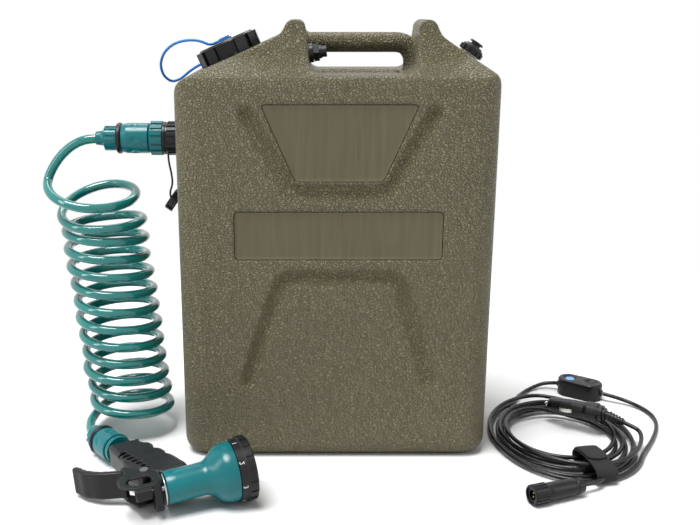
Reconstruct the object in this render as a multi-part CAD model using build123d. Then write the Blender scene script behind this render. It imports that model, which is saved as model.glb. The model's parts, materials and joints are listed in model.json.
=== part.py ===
from build123d import *
import math
import os

# Portable camp shower: a blow-moulded water can with a pump inside, a coiled hose with a spray gun,
# and a 12 V lead. Millimetres, +Z up. The can's front faces -Y, and the origin is the middle of its foot.

# Radial clearance of everything that turns or slides in its seat
running_gap = 0.05

# Travels of the pieces that slide, which their seats leave room for
sleeve_travel = 3.5
plug_tip_travel = 3.0
contact_travel = 1.4
button_travel = 1.0

# Can: driving dimensions
can_width = 345.0
can_depth = 168.0
wall = 3.0
corner_radius = 26.0
foot_radius = 18.0
shoulder_break = 424.0
section_overhang = 0.3
left_eave_drop = 4.0
left_slope = 23.5
right_eave_rise = 1.0
right_slope = 34.8
eave_radius = 20.0
horn_rise = 60.0
horn_width = 16.0
horn_tip_radius = 8.0
left_horn_place = -0.258
right_horn_place = 0.559
left_flank_place = -0.162
right_flank_place = 0.481
flank_lean = 7.0
gap_rise = 5.0
gap_corner_radius = 11.0
ledge_rise = 22.0
ledge_round = 14.0
ledge_set_in = 32.0
spine_drop = 14.0
spine_round = 16.0
spine_set_in = 47.0
crest_set_in = 52.0
shoulder_round = 12.0
horn_foot_round = 14.0
trough_radius = 60.0
trough_depth = 9.0
trough_gap = 13.0

# Tube handle between the horns
bar_height = 20.5
bar_depth = 28.0
bar_drop = 23.6
bar_bend = 19.0
seam_width = 2.6
seam_stand = 1.6

# Moulded grooves and smooth panels of the front and the back
groove_half_width = 9.0
groove_depth = 5.0
groove_bend = 16.0
upper_groove = [(-96.1, 390.0), (-48.0, 307.0), (54.5, 307.0), (100.4, 390.0)]
lower_groove = [(-98.0, 93.0), (-59.1, 212.5), (67.7, 212.5), (102.6, 93.0)]
panel_depth = 1.2
panel_round = 8.0
upper_panel = [(-80.5, 399.4), (84.5, 399.4), (49.1, 319.0), (-44.7, 319.0)]
middle_panel = [(-110.0, 286.2), (113.5, 286.2), (113.5, 233.9), (-110.0, 233.9)]

# Filler neck and cap, along the left shoulder's normal
filler_inset = 1 / 3
neck_bore = 25.5
neck_outer = 28.5
neck_height = 12.5
pocket_radius = 40.5
pocket_depth = 3.5
cap_radius = 32.5
cap_lug_radius = 35.0
cap_lug_width = 12.5
cap_lugs = 12
cap_top = 18.0
cap_roof = 3.1
cap_skirt_gap = 2.3
cap_thread_gap = 0.4
seal_gap = 0.3
strap_thick = 1.8
strap_ring_radius = 36.5
strap_cord = 3.0
strap_tongue_angle = 135.5
strap_tongue_width = 5.0
strap_drape = [
    (20.5, 1.0, 41.8),
    (4.5, 4.0, 41.5),
    (-10.0, 9.5, 36.5),
    (-21.0, 16.5, 26.5),
    (-26.0, 24.5, 13.0),
    (-23.5, 32.5, 0.5),
    (-15.0, 38.5, -6.5),
    (-4.5, 42.5, -2.5),
    (5.5, 43.0, 6.0),
    (16.0, 39.0, 12.5),
    (25.0, 32.5, 16.0),
]
eye_radius = 8.0
eye_thick = 1.8
button_radius = 6.0

# Vent, along the right shoulder's normal
vent_inset = 0.1594
vent_boss_radius = 12.5
vent_boss_height = 2.5
vent_neck_radius = 8.0
vent_neck_height = 8.0
vent_bore = 5.0
vent_seal_thick = 1.7
vent_collar_radius = 12.7
vent_rib_radius = 14.0
vent_ribs = 12
vent_collar_top = 12.0
vent_dome_top = 14.0
vent_dome_radius = 10.0
vent_stem_radius = 4.0
vent_flange_radius = 8.0
vent_knob_top = 18.5

# Outlet through the left wall
outlet_drop = 70.0
spigot_radius = 12.0
spigot_clearance = 0.1
waterway = 6.0
washer_radius = 20.0
washer_thick = 2.0
flange_radius = 20.0
flange_thick = 4.0
grip_ring_end = 16.0
eye_groove_end = 18.5
bulkhead_end = 21.5
bulkhead_radius = 17.5
bulkhead_rib_radius = 19.0
bulkhead_ribs = 18
eye_groove_radius = 14.2
spigot_length = 12.5
inner_stub = 16.0
inner_barb = 24.0
inner_barb_radius = 7.0
lock_nut_flats = 32.0
lock_nut_thick = 7.0
adaptor_gap = 0.3
dust_cap_radius = 13.0
dust_cap_height = 10.0
dust_cap_wall = 1.6
dust_cap_tilt = 55.0
dust_cap_x = -184.9
dust_cap_z = 283.0

# Click connector, the same on the outlet and on the gun
adaptor_collar = 14.7
gun_collar = 7.5
nose_radius = 8.0
nose_length = 21.0
nose_waterway = 4.5
sleeve_radius = 17.0
sleeve_bore = 14.6
sleeve_length = 31.0
sleeve_gap = 0.6
dimple_radius = 14.0
dimple_depth = 1.0
core_radius = 14.2
ring_length = 5.4
ring_radius = 17.4
ring_bore = 15.0
nut_start = 34.9
nut_end = 52.8
nut_tail_end = 61.0
nut_radius = 12.7
nut_rib_radius = 13.7
nut_ribs = 12
nut_thread = 9.6
nut_tail_radius = 8.3
stub_radius = 9.5
stub_end = 45.2
hose_start = 46.0

# Hose
hose_diameter = 10.7
hose_clearance = 0.3
hose_reach = 24.5
coil_rows = [(-279.5, 304.0, 54.0), (-269.0, 262.0, 50.5), (-261.0, 205.0, 50.0), (-244.0, 10.0, 51.5)]
hose_lead_points = [
    (-297.5, 0.0, 346.5),
    (-312.0, 0.0, 334.0),
    (-322.5, 0.0, 319.5),
    (-328.0, -1.0, 304.2),
]
hose_tail_points = [
    (-291.5, -17.0, 17.6),
    (-291.5, -24.0, 16.2),
]

# Spray gun, in its own axes: x along the barrel, y down the handle, z out of the side that faces up
gun_origin = (-182.7, -208.5, 27.4)
gun_barrel_way = (0.925, 0.3715, 0.075)
gun_handle_way = (-0.3726, 0.928, -0.06)
barrel_radius = 17.0
barrel_start = 8.0
barrel_straight = 46.0
barrel_end = 79.7
flare_radius = 31.0
chamber_radius = 10.0
barrel_back_wall = 3.0
valve_seat = 36.5
valve_seat_thick = 2.5
valve_seat_bore = 6.0
dial_post_radius = 10.0
dial_post_end = 88.5
dial_start = 80.2
dial_band_end = 87.2
dial_end = 97.5
dial_band_radius = 32.3
dial_rim_radius = 34.0
dial_wall = 3.0
dial_notches = 18
face_start = 89.0
face_thick = 3.5
spray_hole = 0.8
lever_pivot = (-8.0, 15.0)
lug_radius = 6.0
plate_inner = 14.2
plate_thick = 3.0
pin_radius = 2.5
pin_head_radius = 4.4
grip_half = 13.4
grip_wall = 3.2
grip_round = 5.0
grip_length = 108.0
handle_top = (14.0, 14.0)
handle_foot = (-16.0, 118.0)
core_tube_radius = 8.0
core_tube_bore = 5.5
windows = 7
window_first = (-18.5, 78.0)
window_last = (-1.0, 30.0)
stem_radius = 2.5
stem_start = -21.0
stem_end = 34.0
stem_head_radius = 8.0
stem_head_thick = 4.0
spring_end = 21.5
knob_start = -22.0
knob_end = -5.6
knob_radius = 8.0

# Electrical socket on the left horn's flank
socket_rise = 20.0
socket_y = -30.0
socket_flange = 10.0
socket_stub = 6.0
socket_tail = 14.0

# Pump inside the can
pump_from_side = 50.5
pump_from_back = 37.0
pump_radius = 19.0
pump_height = 84.0
pump_foot = 14.0
pump_gap = 0.3
gland_offset = 12.0
pump_hose_radius = 7.0
pump_cable_radius = 2.6
impeller_radius = 13.0
pump_spout = 12.3
gland_height = 4.0
hose_bend = 36.0
cable_turn = 49.5
cable_below_trough = 7.4

# Inner routes: shares of the run across, an offset or share towards the front, and shares of the rise
pump_hose_climb = [
    (0.0, 3.0, 0.208),
    (0.051, 14.0, 0.458),
    (0.222, 20.0, 0.666),
    (0.448, 20.0, 0.812),
    (0.662, 18.0, 0.933),
    (0.867, 8.0, 0.992),
]
pump_cable_climb = [
    (-0.009, -0.09, 0.296),
    (0.0, -0.156, 0.592),
    (0.075, -0.156, 0.806),
    (0.243, -0.065, 0.937),
    (0.449, 0.156, 0.993),
    (0.626, 0.494, 1.0),
    (0.804, 0.87, 1.0),
]

# Power lead
cable_diameter = 5.0
lead_centre = (273.0, -38.0)
lead_outer = (90.0, 113.0)
lead_inner = (54.0, 56.0)
lead_height = 17.0
lead_round = 5.0
tie_thick = 1.9
tie_width = 26.0
tie_heading = -80.0
plug_tip_at = (264.0, 13.0, 24.5)
plug_heading = -34.5
plug_rise = 3.0
plug_radius = 10.4
plug_length = 70.0
plug_tip_radius = 3.0
contact_reach = 12.0
relief_length = 24.0
relief_drop = 15.0
switch_at = (329.0, 94.5)
switch_heading = -36.0
switch_size = (58.0, 30.0, 22.0)
button_offset = 14.0
button_size = 6.2
button_stand = 1.2
connector_face_at = (199.0, -190.0, 11.1)
connector_heading = 20.5
connector_nut_radius = 10.8
connector_nut_length = 18.0
connector_radius = 9.2
connector_length = 63.0
lead_left_points = [
    (303.5, 113.0, 10.0),
    (292.0, 119.0, 8.0),
    (279.0, 117.0, 5.0),
    (265.0, 107.0, 3.4),
    (252.5, 93.0, 3.2),
    (243.5, 79.0, 4.2),
    (238.5, 65.5, 7.0),
]
lead_right_points = [
    (354.7, 75.9, 10.0),
    (368.0, 69.0, 8.5),
    (382.0, 62.0, 5.5),
    (394.5, 48.0, 3.6),
    (400.5, 29.0, 3.2),
    (399.5, 8.0, 3.2),
    (393.0, -13.0, 3.4),
    (382.5, -34.0, 3.2),
    (370.5, -55.0, 3.6),
    (356.0, -74.0, 6.0),
]


def tube_frame(origin, along, side):
    """A place whose z runs along the given way and whose x is as near to the side way as it can be."""
    z_way = Vector(*along).normalized()
    x_way = Vector(*side)
    x_way = (x_way - z_way * x_way.dot(z_way)).normalized()
    return Plane(origin=origin, x_dir=x_way, z_dir=z_way).location


def turned(profile, place):
    """A solid turned about the z axis of a place from (radius, height) points."""
    outline = Polyline(*[(radius, 0, height) for radius, height in profile], close=True)
    return place * revolve(make_face(outline), Axis.Z)


def rod(radius, low, high, place):
    return place * Pos(0, 0, (low + high) / 2) * Cylinder(radius, high - low)


def collar(outer, inner, low, high, place):
    return turned([(inner, low), (outer, low), (outer, high), (inner, high)], place)


def block(size, centre, place):
    return place * Pos(*centre) * Box(*size)


def ribs(count, inner, outer, width, low, high, place):
    """Straight ribs round a collar, from just inside its wall to their own radius."""
    reach = outer - inner + 1
    made = []
    for index in range(count):
        turn = Rot(0, 0, 360 * index / count)
        rib = turn * Pos((inner - 1 + outer) / 2, 0, (low + high) / 2) * Box(reach, width, high - low)
        made.append(place * rib)
    return made


def rounded_outline(points):
    """A closed face from (x, y, corner radius) points."""
    corners = [point[:2] for point in points]
    radii = [point[2] for point in points]
    return make_face(FilletPolyline(*corners, radius=radii, close=True))


def cord_radii(points):
    """The largest tangent arc that each corner's two runs allow."""
    radii = []
    for before, here, after in zip(points, points[1:], points[2:]):
        first = Vector(*here) - Vector(*before)
        second = Vector(*after) - Vector(*here)
        turn = math.radians(first.get_angle(second))
        radii.append(0.45 * min(first.length, second.length) / math.tan(turn / 2))
    return radii


def cord_tube(name, points, diameter):
    """A cord's stretch: straight runs joined by tangent arcs."""
    radii = cord_radii(points)
    path = FilletPolyline(*points, radius=radii)
    start = Plane(origin=path @ 0, z_dir=path % 0)
    tube = sweep(start * Circle(diameter / 2), path=path)
    expected = math.pi * diameter * diameter / 4 * path.length
    print(name, "length", round(path.length, 1), "volume ratio", round(tube.volume / expected, 4),
          "radii", [round(radius, 1) for radius in radii])
    return tube


# Places that several pieces share. Those across the can are shares of half its width.
half_width = can_width / 2
left_tan = math.tan(math.radians(left_slope))
right_tan = math.tan(math.radians(right_slope))
left_eave = shoulder_break - left_eave_drop
right_eave = shoulder_break + right_eave_rise
horn_top = shoulder_break + horn_rise
gap_floor = shoulder_break + gap_rise
bar_centre_z = horn_top - bar_drop
socket_height = gap_floor + socket_rise
outlet_z = shoulder_break - outlet_drop
left_horn_x = left_horn_place * half_width
right_horn_x = right_horn_place * half_width
left_flank_x = left_flank_place * half_width
right_flank_x = right_flank_place * half_width
filler_x = (filler_inset - 1) * half_width
vent_x = (1 - vent_inset) * half_width
pump_x = half_width - pump_from_side
pump_y = can_depth / 2 - pump_from_back
filler_z = left_eave + (filler_x + can_width / 2) * left_tan
vent_z = right_eave + (can_width / 2 - vent_x) * right_tan
filler_way = (-math.sin(math.radians(left_slope)), 0, math.cos(math.radians(left_slope)))
vent_way = (math.sin(math.radians(right_slope)), 0, math.cos(math.radians(right_slope)))
filler = tube_frame((filler_x, 0, filler_z), filler_way, (1, 0, 0))
vent = tube_frame((vent_x, 0, vent_z), vent_way, (1, 0, 0))
outlet = tube_frame((-can_width / 2, 0, outlet_z), (-1, 0, 0), (0, 1, 0))
outlet_click = outlet * Pos(0, 0, bulkhead_end + adaptor_gap + adaptor_collar)
flank_way = (math.cos(math.radians(flank_lean)), 0, math.sin(math.radians(flank_lean)))
flank_tan = math.tan(math.radians(flank_lean))
socket_x = left_flank_x - (socket_height - gap_floor) * flank_tan
socket = tube_frame((socket_x, socket_y, socket_height), flank_way, (0, 1, 0))
gun_x = Vector(*gun_barrel_way).normalized()
gun_y = Vector(*gun_handle_way)
gun_z = gun_x.cross(gun_y).normalized()
gun = Plane(origin=gun_origin, x_dir=gun_x, z_dir=gun_z).location
barrel_axis = gun * Plane(origin=(0, 0, 0), x_dir=(0, 1, 0), z_dir=(1, 0, 0)).location
handle_run = (handle_foot[0] - handle_top[0], handle_foot[1] - handle_top[1], 0)
handle_axis = gun * tube_frame((handle_top[0], handle_top[1], 0), handle_run, (0, 0, 1))
gun_click = handle_axis * Pos(0, 0, grip_length + gun_collar)


def can_outline(inset):
    """The front view: straight sides, two sloping shoulders, two horns and the gap between them."""
    half = can_width / 2
    left_foot = left_horn_x - horn_width
    right_foot = right_horn_x + horn_width
    left_foot_z = left_eave + (left_foot + half) * left_tan
    right_foot_z = right_eave + (half - right_foot) * right_tan
    rise = horn_top - gap_floor
    points = [
        (-half, -10, 1),
        (half, -10, 1),
        (half, right_eave, eave_radius),
        (right_foot, right_foot_z, horn_foot_round),
        (right_horn_x + horn_width / 2, horn_top, horn_tip_radius),
        (right_horn_x - horn_width / 2, horn_top, horn_tip_radius),
        (right_flank_x, gap_floor, gap_corner_radius),
        (left_flank_x, gap_floor, gap_corner_radius),
        (left_flank_x - rise * flank_tan, horn_top, horn_tip_radius),
        (left_horn_x - horn_width / 2, horn_top, horn_tip_radius),
        (left_foot, left_foot_z, horn_foot_round),
        (-half, left_eave, eave_radius),
    ]
    face = rounded_outline(points)
    if inset:
        face = offset(face, -inset)
    return extrude(Plane.XZ * face, can_depth, both=True)


def can_section(inset):
    """The side view: upright walls, a ledge that leans in, and the spine that carries the horns."""
    half = can_depth / 2 + section_overhang
    ledge = can_depth / 2 - ledge_set_in
    spine = can_depth / 2 - spine_set_in
    crest = can_depth / 2 - crest_set_in
    points = [
        (-half, -10, 1),
        (half, -10, 1),
        (half, shoulder_break, shoulder_round),
        (ledge, shoulder_break + ledge_rise, ledge_round),
        (spine, horn_top - spine_drop, spine_round),
        (crest, horn_top + 6, 4),
        (-crest, horn_top + 6, 4),
        (-spine, horn_top - spine_drop, spine_round),
        (-ledge, shoulder_break + ledge_rise, ledge_round),
        (-half, shoulder_break, shoulder_round),
    ]
    face = rounded_outline(points)
    if inset:
        face = offset(face, -inset)
    return extrude(Plane.YZ * face, can_width, both=True)


def can_block(inset):
    """The upright block with round corners and a round foot."""
    width = can_width - 2 * inset
    depth = can_depth - 2 * inset
    plan = Pos(0, 0, inset) * RectangleRounded(width, depth, corner_radius - inset)
    body = extrude(plan, horn_top + 2 - inset)
    foot = body.edges().group_by(Axis.Z)[0]
    return fillet(foot, foot_radius - inset)


def trough(inset):
    """The dip under the handle that leaves room for fingers."""
    centre = gap_floor + trough_radius - trough_depth
    length = right_flank_x - left_flank_x - 2 * trough_gap + 2 * inset
    middle = (right_flank_x + left_flank_x) / 2
    return Pos(middle, 0, centre) * Rot(0, 90, 0) * Cylinder(trough_radius + inset, length)


def handle_tube(inset):
    """The round bar that leaves the left horn level and bends down into the right one."""
    low = gap_floor - 12
    leg_x = right_flank_x - flank_tan * 20 + bar_height / 4
    start = left_horn_x + 6
    points = [(start, 0, bar_centre_z), (leg_x, 0, bar_centre_z), (leg_x, 0, low)]
    line = FilletPolyline(*points, radius=bar_bend)
    section = Plane(origin=(start, 0, bar_centre_z), x_dir=(0, 1, 0), z_dir=(1, 0, 0))
    return sweep(section * Ellipse(bar_depth / 2 - inset, bar_height / 2 - inset), path=line)


def handle_seam():
    """The pinched seam on the inside of the handle."""
    drop = bar_centre_z - bar_height / 2
    leg = right_flank_x - flank_tan * 20 - bar_height / 4
    outer = rounded_outline([
        (left_flank_x - 2, drop + 2, 2), (leg + 2, drop + 2, 9),
        (leg + 2, gap_floor - 2, 1), (left_flank_x - 2, gap_floor - 2, 1),
    ])
    inner = rounded_outline([
        (left_flank_x - 3, drop - seam_stand, 2), (leg - seam_stand, drop - seam_stand, 8),
        (leg - seam_stand, gap_floor - 3, 1), (left_flank_x - 3, gap_floor - 3, 1),
    ])
    return extrude(Plane.XZ * (outer - inner), seam_width / 2, both=True)


def groove_tool(route, side, inset):
    """A round-bottomed groove along a route on the front (-1) or the back (1)."""
    radius = (groove_half_width ** 2 + groove_depth ** 2) / (2 * groove_depth)
    y = side * (can_depth / 2 + radius - groove_depth)
    points = [(x, y, z) for x, z in route]
    line = FilletPolyline(*points, radius=groove_bend)
    start = Plane(origin=line @ 0, z_dir=line % 0)
    tool = sweep(start * Circle(radius + inset), path=line)
    for point in (points[0], points[-1]):
        tool = tool + Pos(*point) * Sphere(radius + inset)
    return tool


def panel_tool(corners, side):
    """A shallow smooth recess on the front (-1) or the back (1)."""
    face = rounded_outline([(x, z, panel_round) for x, z in corners])
    return Pos(0, side * can_depth / 2, 0) * extrude(Plane.XZ * face, panel_depth, both=True)


def can_form(inset):
    """The can's main form, or the form of its hollow when it is set in by the wall."""
    return can_block(inset) & can_outline(inset) & can_section(inset)


def make_can_body():
    """The blow-moulded shell: a form with grooves, panels, necks and handle, less the same form set in."""
    outer = can_form(0)
    outer = outer - trough(0) + handle_tube(0) + handle_seam()
    inner = can_form(wall) - trough(wall)
    inner = inner + handle_tube(wall)
    for side in (-1, 1):
        for route in (upper_groove, lower_groove):
            outer = outer - groove_tool(route, side, 0)
            inner = inner - groove_tool(route, side, wall)
        for corners in (upper_panel, middle_panel):
            outer = outer - panel_tool(corners, side)
    outer = outer - rod(pocket_radius, -pocket_depth, 40, filler)
    inner = inner - rod(pocket_radius + wall, -pocket_depth - wall, 40, filler)
    outer = outer + rod(neck_outer, -pocket_depth - 1, neck_height, filler)
    outer = outer + rod(vent_boss_radius, -2, vent_boss_height, vent)
    outer = outer + rod(vent_neck_radius, 0, vent_neck_height, vent)
    body = outer - inner
    body = body - rod(neck_bore, -20, neck_height + 1, filler)
    body = body - rod(vent_bore, -12, vent_neck_height + 1, vent)
    body = body - rod(spigot_radius + spigot_clearance, -8, 4, outlet)
    return body - rod(socket_stub + spigot_clearance, -8, 4, socket)


def make_filler_cap():
    skirt = -pocket_depth + cap_skirt_gap
    profile = [
        (neck_outer + cap_thread_gap, skirt),
        (cap_radius + 1, skirt),
        (cap_radius + 1, skirt + 2),
        (cap_radius, skirt + 2.6),
        (cap_radius, cap_top - 2.5),
        (cap_radius - 2.5, cap_top),
        (0, cap_top),
        (0, cap_top - cap_roof),
        (neck_outer + cap_thread_gap, cap_top - cap_roof),
    ]
    cap = turned(profile, filler)
    for rib in ribs(cap_lugs, cap_radius, cap_lug_radius, cap_lug_width, skirt + 1.2, cap_top - 2, filler):
        cap = cap + rib
    return cap


def make_filler_cap_seal():
    return collar(neck_outer, neck_bore - 4, neck_height + seal_gap, cap_top - cap_roof, filler)


def strap_points():
    """The leash: from the eye's edge out to the left, down past the shoulder and up to the ring's tongue."""
    eye_height = cap_top + seal_gap + strap_cord / 2
    tongue_top = -pocket_depth + strap_thick + seal_gap
    angle = math.radians(strap_tongue_angle)
    reach = strap_ring_radius + 1.1
    tongue_x = reach * math.cos(angle)
    tongue_y = reach * math.sin(angle)
    drape = [(across - half_width, y, left_eave + rise) for across, y, rise in strap_drape]
    return [
        tuple((filler * Pos(-eye_radius + 2, 0, eye_height)).position),
        tuple((filler * Pos(-eye_radius - 9, 0, eye_height)).position),
        *drape,
        tuple((filler * Pos(tongue_x, tongue_y, 5.2)).position),
        tuple((filler * Pos(tongue_x, tongue_y, tongue_top)).position),
    ]


def make_cap_strap_ring():
    """The ring that the neck holds, with the tongue that the leash grows out of."""
    low = -pocket_depth
    ring = collar(strap_ring_radius, neck_outer + seal_gap, low, low + strap_thick, filler)
    reach = strap_ring_radius + 1.1 + strap_cord / 2
    tongue = Pos(reach - 3, 0, low + strap_thick / 2) * Box(6, strap_tongue_width, strap_thick)
    return ring + filler * Rot(0, 0, strap_tongue_angle) * tongue


def make_cap_strap():
    """The leash with its eye on the cap, and the button that holds the eye."""
    low = cap_top + seal_gap
    eye = rod(eye_radius, low, low + eye_thick, filler)
    eye = eye + rod(button_radius, low, low + eye_thick + 1.8, filler)
    return eye + cord_tube("cap_strap", strap_points(), strap_cord)


def make_vent_collar():
    low = vent_boss_height + vent_seal_thick + seal_gap
    roof = vent_neck_height + seal_gap
    profile = [
        (vent_neck_radius + cap_thread_gap, low),
        (vent_collar_radius, low),
        (vent_collar_radius, vent_collar_top - 1),
        (vent_collar_radius - 1, vent_collar_top),
        (vent_dome_radius + 0.6, vent_collar_top),
        (vent_dome_radius - 0.8, vent_dome_top),
        (vent_stem_radius + running_gap, vent_dome_top),
        (vent_stem_radius + running_gap, roof),
        (vent_neck_radius + cap_thread_gap, roof),
    ]
    body = turned(profile, vent)
    for rib in ribs(vent_ribs, vent_collar_radius, vent_rib_radius, 4.6, low, vent_collar_top - 2.4, vent):
        body = body + rib
    return body


def make_vent_knob():
    neck = vent_stem_radius + 1.6
    profile = [
        (0, vent_neck_height + 0.6),
        (vent_stem_radius, vent_neck_height + 0.6),
        (vent_stem_radius, vent_dome_top + seal_gap),
        (neck, vent_dome_top + seal_gap),
        (neck, vent_knob_top - 2),
        (vent_flange_radius, vent_knob_top - 2),
        (vent_flange_radius, vent_knob_top - 0.6),
        (vent_flange_radius - 0.6, vent_knob_top),
        (0, vent_knob_top),
    ]
    return turned(profile, vent)


def make_vent_seal():
    low = vent_boss_height
    bore = vent_neck_radius + cap_thread_gap
    return collar(vent_boss_radius - 0.8, bore, low, low + vent_seal_thick, vent)


def make_outlet_washer():
    return collar(washer_radius, spigot_radius + 0.4, 0, washer_thick, outlet)


def make_outlet_bulkhead():
    flange_end = washer_thick + flange_thick
    profile = [
        (waterway - 1.5, -inner_barb),
        (inner_barb_radius - 1.2, -inner_barb),
        (inner_barb_radius, -inner_barb + 2),
        (inner_barb_radius, -inner_stub),
        (spigot_radius, -inner_stub),
        (spigot_radius, washer_thick),
        (flange_radius, washer_thick),
        (flange_radius, flange_end),
        (bulkhead_radius, flange_end),
        (bulkhead_radius, grip_ring_end),
        (eye_groove_radius - 0.4, grip_ring_end),
        (eye_groove_radius - 0.4, eye_groove_end),
        (bulkhead_radius + 0.8, eye_groove_end),
        (bulkhead_radius + 0.8, bulkhead_end),
        (spigot_radius, bulkhead_end),
        (spigot_radius, bulkhead_end + spigot_length),
        (waterway - 1.5, bulkhead_end + spigot_length),
    ]
    body = turned(profile, outlet)
    high = grip_ring_end
    for rib in ribs(bulkhead_ribs, bulkhead_radius, bulkhead_rib_radius, 3.6, flange_end, high, outlet):
        body = body + rib
    return body


def make_outlet_lock_nut():
    hexagon = RegularPolygon(lock_nut_flats / 2, 6, major_radius=False)
    nut = outlet * Pos(0, 0, -wall - lock_nut_thick) * extrude(hexagon, lock_nut_thick)
    return nut - rod(spigot_radius + running_gap, -40, 10, outlet)


def make_outlet_dust_cap():
    """A rubber cup that hangs from an eye behind the bulkhead's last rim."""
    eye = collar(bulkhead_radius, eye_groove_radius, grip_ring_end + 0.4, eye_groove_end - 0.4, outlet)
    eye_x = -can_width / 2 - (grip_ring_end + eye_groove_end) / 2
    tilt = math.radians(dust_cap_tilt)
    cup_place = tube_frame((dust_cap_x, 0, dust_cap_z), (math.sin(tilt), 0, -math.cos(tilt)), (0, 1, 0))
    half = dust_cap_height / 2
    cup = turned([
        (0, -half), (dust_cap_radius - 1.5, -half), (dust_cap_radius, -half + 1.5),
        (dust_cap_radius, half),
        (dust_cap_radius - dust_cap_wall, half), (dust_cap_radius - dust_cap_wall, -half + 2),
        (0, -half + 2),
    ], cup_place)
    crown = cup_place * Pos(0, 0, -half + 0.6)
    route = [
        (eye_x, 0.0, outlet_z - eye_groove_radius - 1.2),
        (eye_x + 0.5, 0.0, outlet_z - 28.0),
        (eye_x + 3.0, 0.0, outlet_z - 40.0),
        (eye_x + 4.0, 0.0, outlet_z - 52.0),
        (eye_x + 0.5, 0.0, outlet_z - 62.0),
        tuple(crown.position),
    ]
    return eye + cup + cord_tube("outlet_dust_cap", route, 2.2)


def make_tap_adaptor():
    start = -adaptor_collar
    profile = [
        (spigot_radius + spigot_clearance, start),
        (bulkhead_radius, start),
        (bulkhead_radius, -1.2),
        (bulkhead_radius - 1.5, 0),
        (nose_radius, 0),
        (nose_radius, nose_length - 1),
        (nose_radius - 1, nose_length),
        (nose_waterway, nose_length),
        (nose_waterway, start + spigot_length + 0.8),
        (spigot_radius + spigot_clearance, start + spigot_length + 0.8),
    ]
    body = turned(profile, outlet_click)
    for rib in ribs(14, bulkhead_radius, bulkhead_rib_radius, 5.2, start, -1.6, outlet_click):
        body = body + rib
    return body


def make_connector_sleeve(place):
    low = sleeve_gap
    high = low + sleeve_length
    body = turned([
        (sleeve_bore, low), (sleeve_radius - 0.8, low), (sleeve_radius, low + 0.8),
        (sleeve_radius, high - 6),
        (sleeve_radius - 1.6, high), (sleeve_bore, high),
    ], place)
    middle = (low + high) / 2
    for index in range(6):
        ball = Pos(sleeve_radius + dimple_radius - dimple_depth, 0, middle) * Sphere(dimple_radius)
        body = body - place * Rot(0, 0, 60 * index) * ball
    return body


def make_connector_core(place):
    low = sleeve_gap + 1.4
    shoulder = sleeve_gap + sleeve_length - 1
    return turned([
        (nose_radius + running_gap, low), (core_radius - 0.6, low), (core_radius, low + 0.6),
        (core_radius, shoulder),
        (stub_radius, shoulder), (stub_radius, stub_end), (nose_waterway, stub_end),
        (nose_waterway, nose_length + 0.6), (nose_radius + running_gap, nose_length + 0.6),
    ], place)


def make_connector_ring(place):
    low = sleeve_gap + sleeve_length
    high = low + ring_length
    middle = (ring_radius + ring_bore) / 2
    return turned([
        (ring_bore, low), (middle, low), (ring_radius, low + 1.3), (ring_radius, high - 1.3),
        (middle, high), (ring_bore, high),
    ], place)


def make_hose_nut(place):
    bore = hose_diameter / 2 + hose_clearance
    body = turned([
        (nut_thread, nut_start), (nut_radius, nut_start), (nut_radius, nut_end - 2),
        (nut_tail_radius + 0.6, nut_end),
        (nut_tail_radius, nut_end + 2), (nut_tail_radius - 0.8, nut_tail_end), (bore, nut_tail_end),
        (bore, hose_start - 0.4), (nut_thread, hose_start - 0.4),
    ], place)
    for rib in ribs(nut_ribs, nut_radius, nut_rib_radius, 3.4, nut_start, nut_end - 2, place):
        body = body + rib
    return body


def nut_run(place):
    """The stretch of hose inside a hose nut and just behind it, along the nut's own axis."""
    return [tuple((place * Pos(0, 0, low)).position) for low in (hose_start, hose_start + hose_reach)]


def make_hose_lead_in():
    return cord_tube("hose_lead_in", nut_run(outlet_click) + hose_lead_points, hose_diameter)


def make_hose_tail():
    return cord_tube("hose_tail", hose_tail_points + nut_run(gun_click)[::-1], hose_diameter)


def make_hose_coil():
    rings = [Pos(x, 0, z) * Circle(radius) for x, z, radius in reversed(coil_rows)]
    return loft(rings)


def make_gun_adaptor():
    bore = core_tube_bore + 0.5
    start = -gun_collar
    return turned([
        (nose_waterway, start - 10), (bore - 0.02, start - 10), (bore - 0.02, start + 0.3),
        (15.5, start + 0.3),
        (15.5, -1), (14.5, 0), (nose_radius, 0), (nose_radius, nose_length - 1),
        (nose_radius - 1, nose_length),
        (nose_waterway, nose_length),
    ], gun_click)


def grip_outline(inset):
    face = rounded_outline([
        (8.0, 12.0, 1), (38.0, 12.0, 4), (37.0, 24.0, 4), (31.0, 46.0, 12), (20.0, 80.0, 12),
        (8.0, 113.0, 3),
        (-2.5, 121.9, 2), (-29.5, 114.1, 2), (-29.0, 104.0, 10), (-21.5, 62.0, 12), (-11.5, 36.0, 10),
        (0.0, 20.0, 4),
    ])
    if inset:
        face = offset(face, -inset)
    return face


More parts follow.
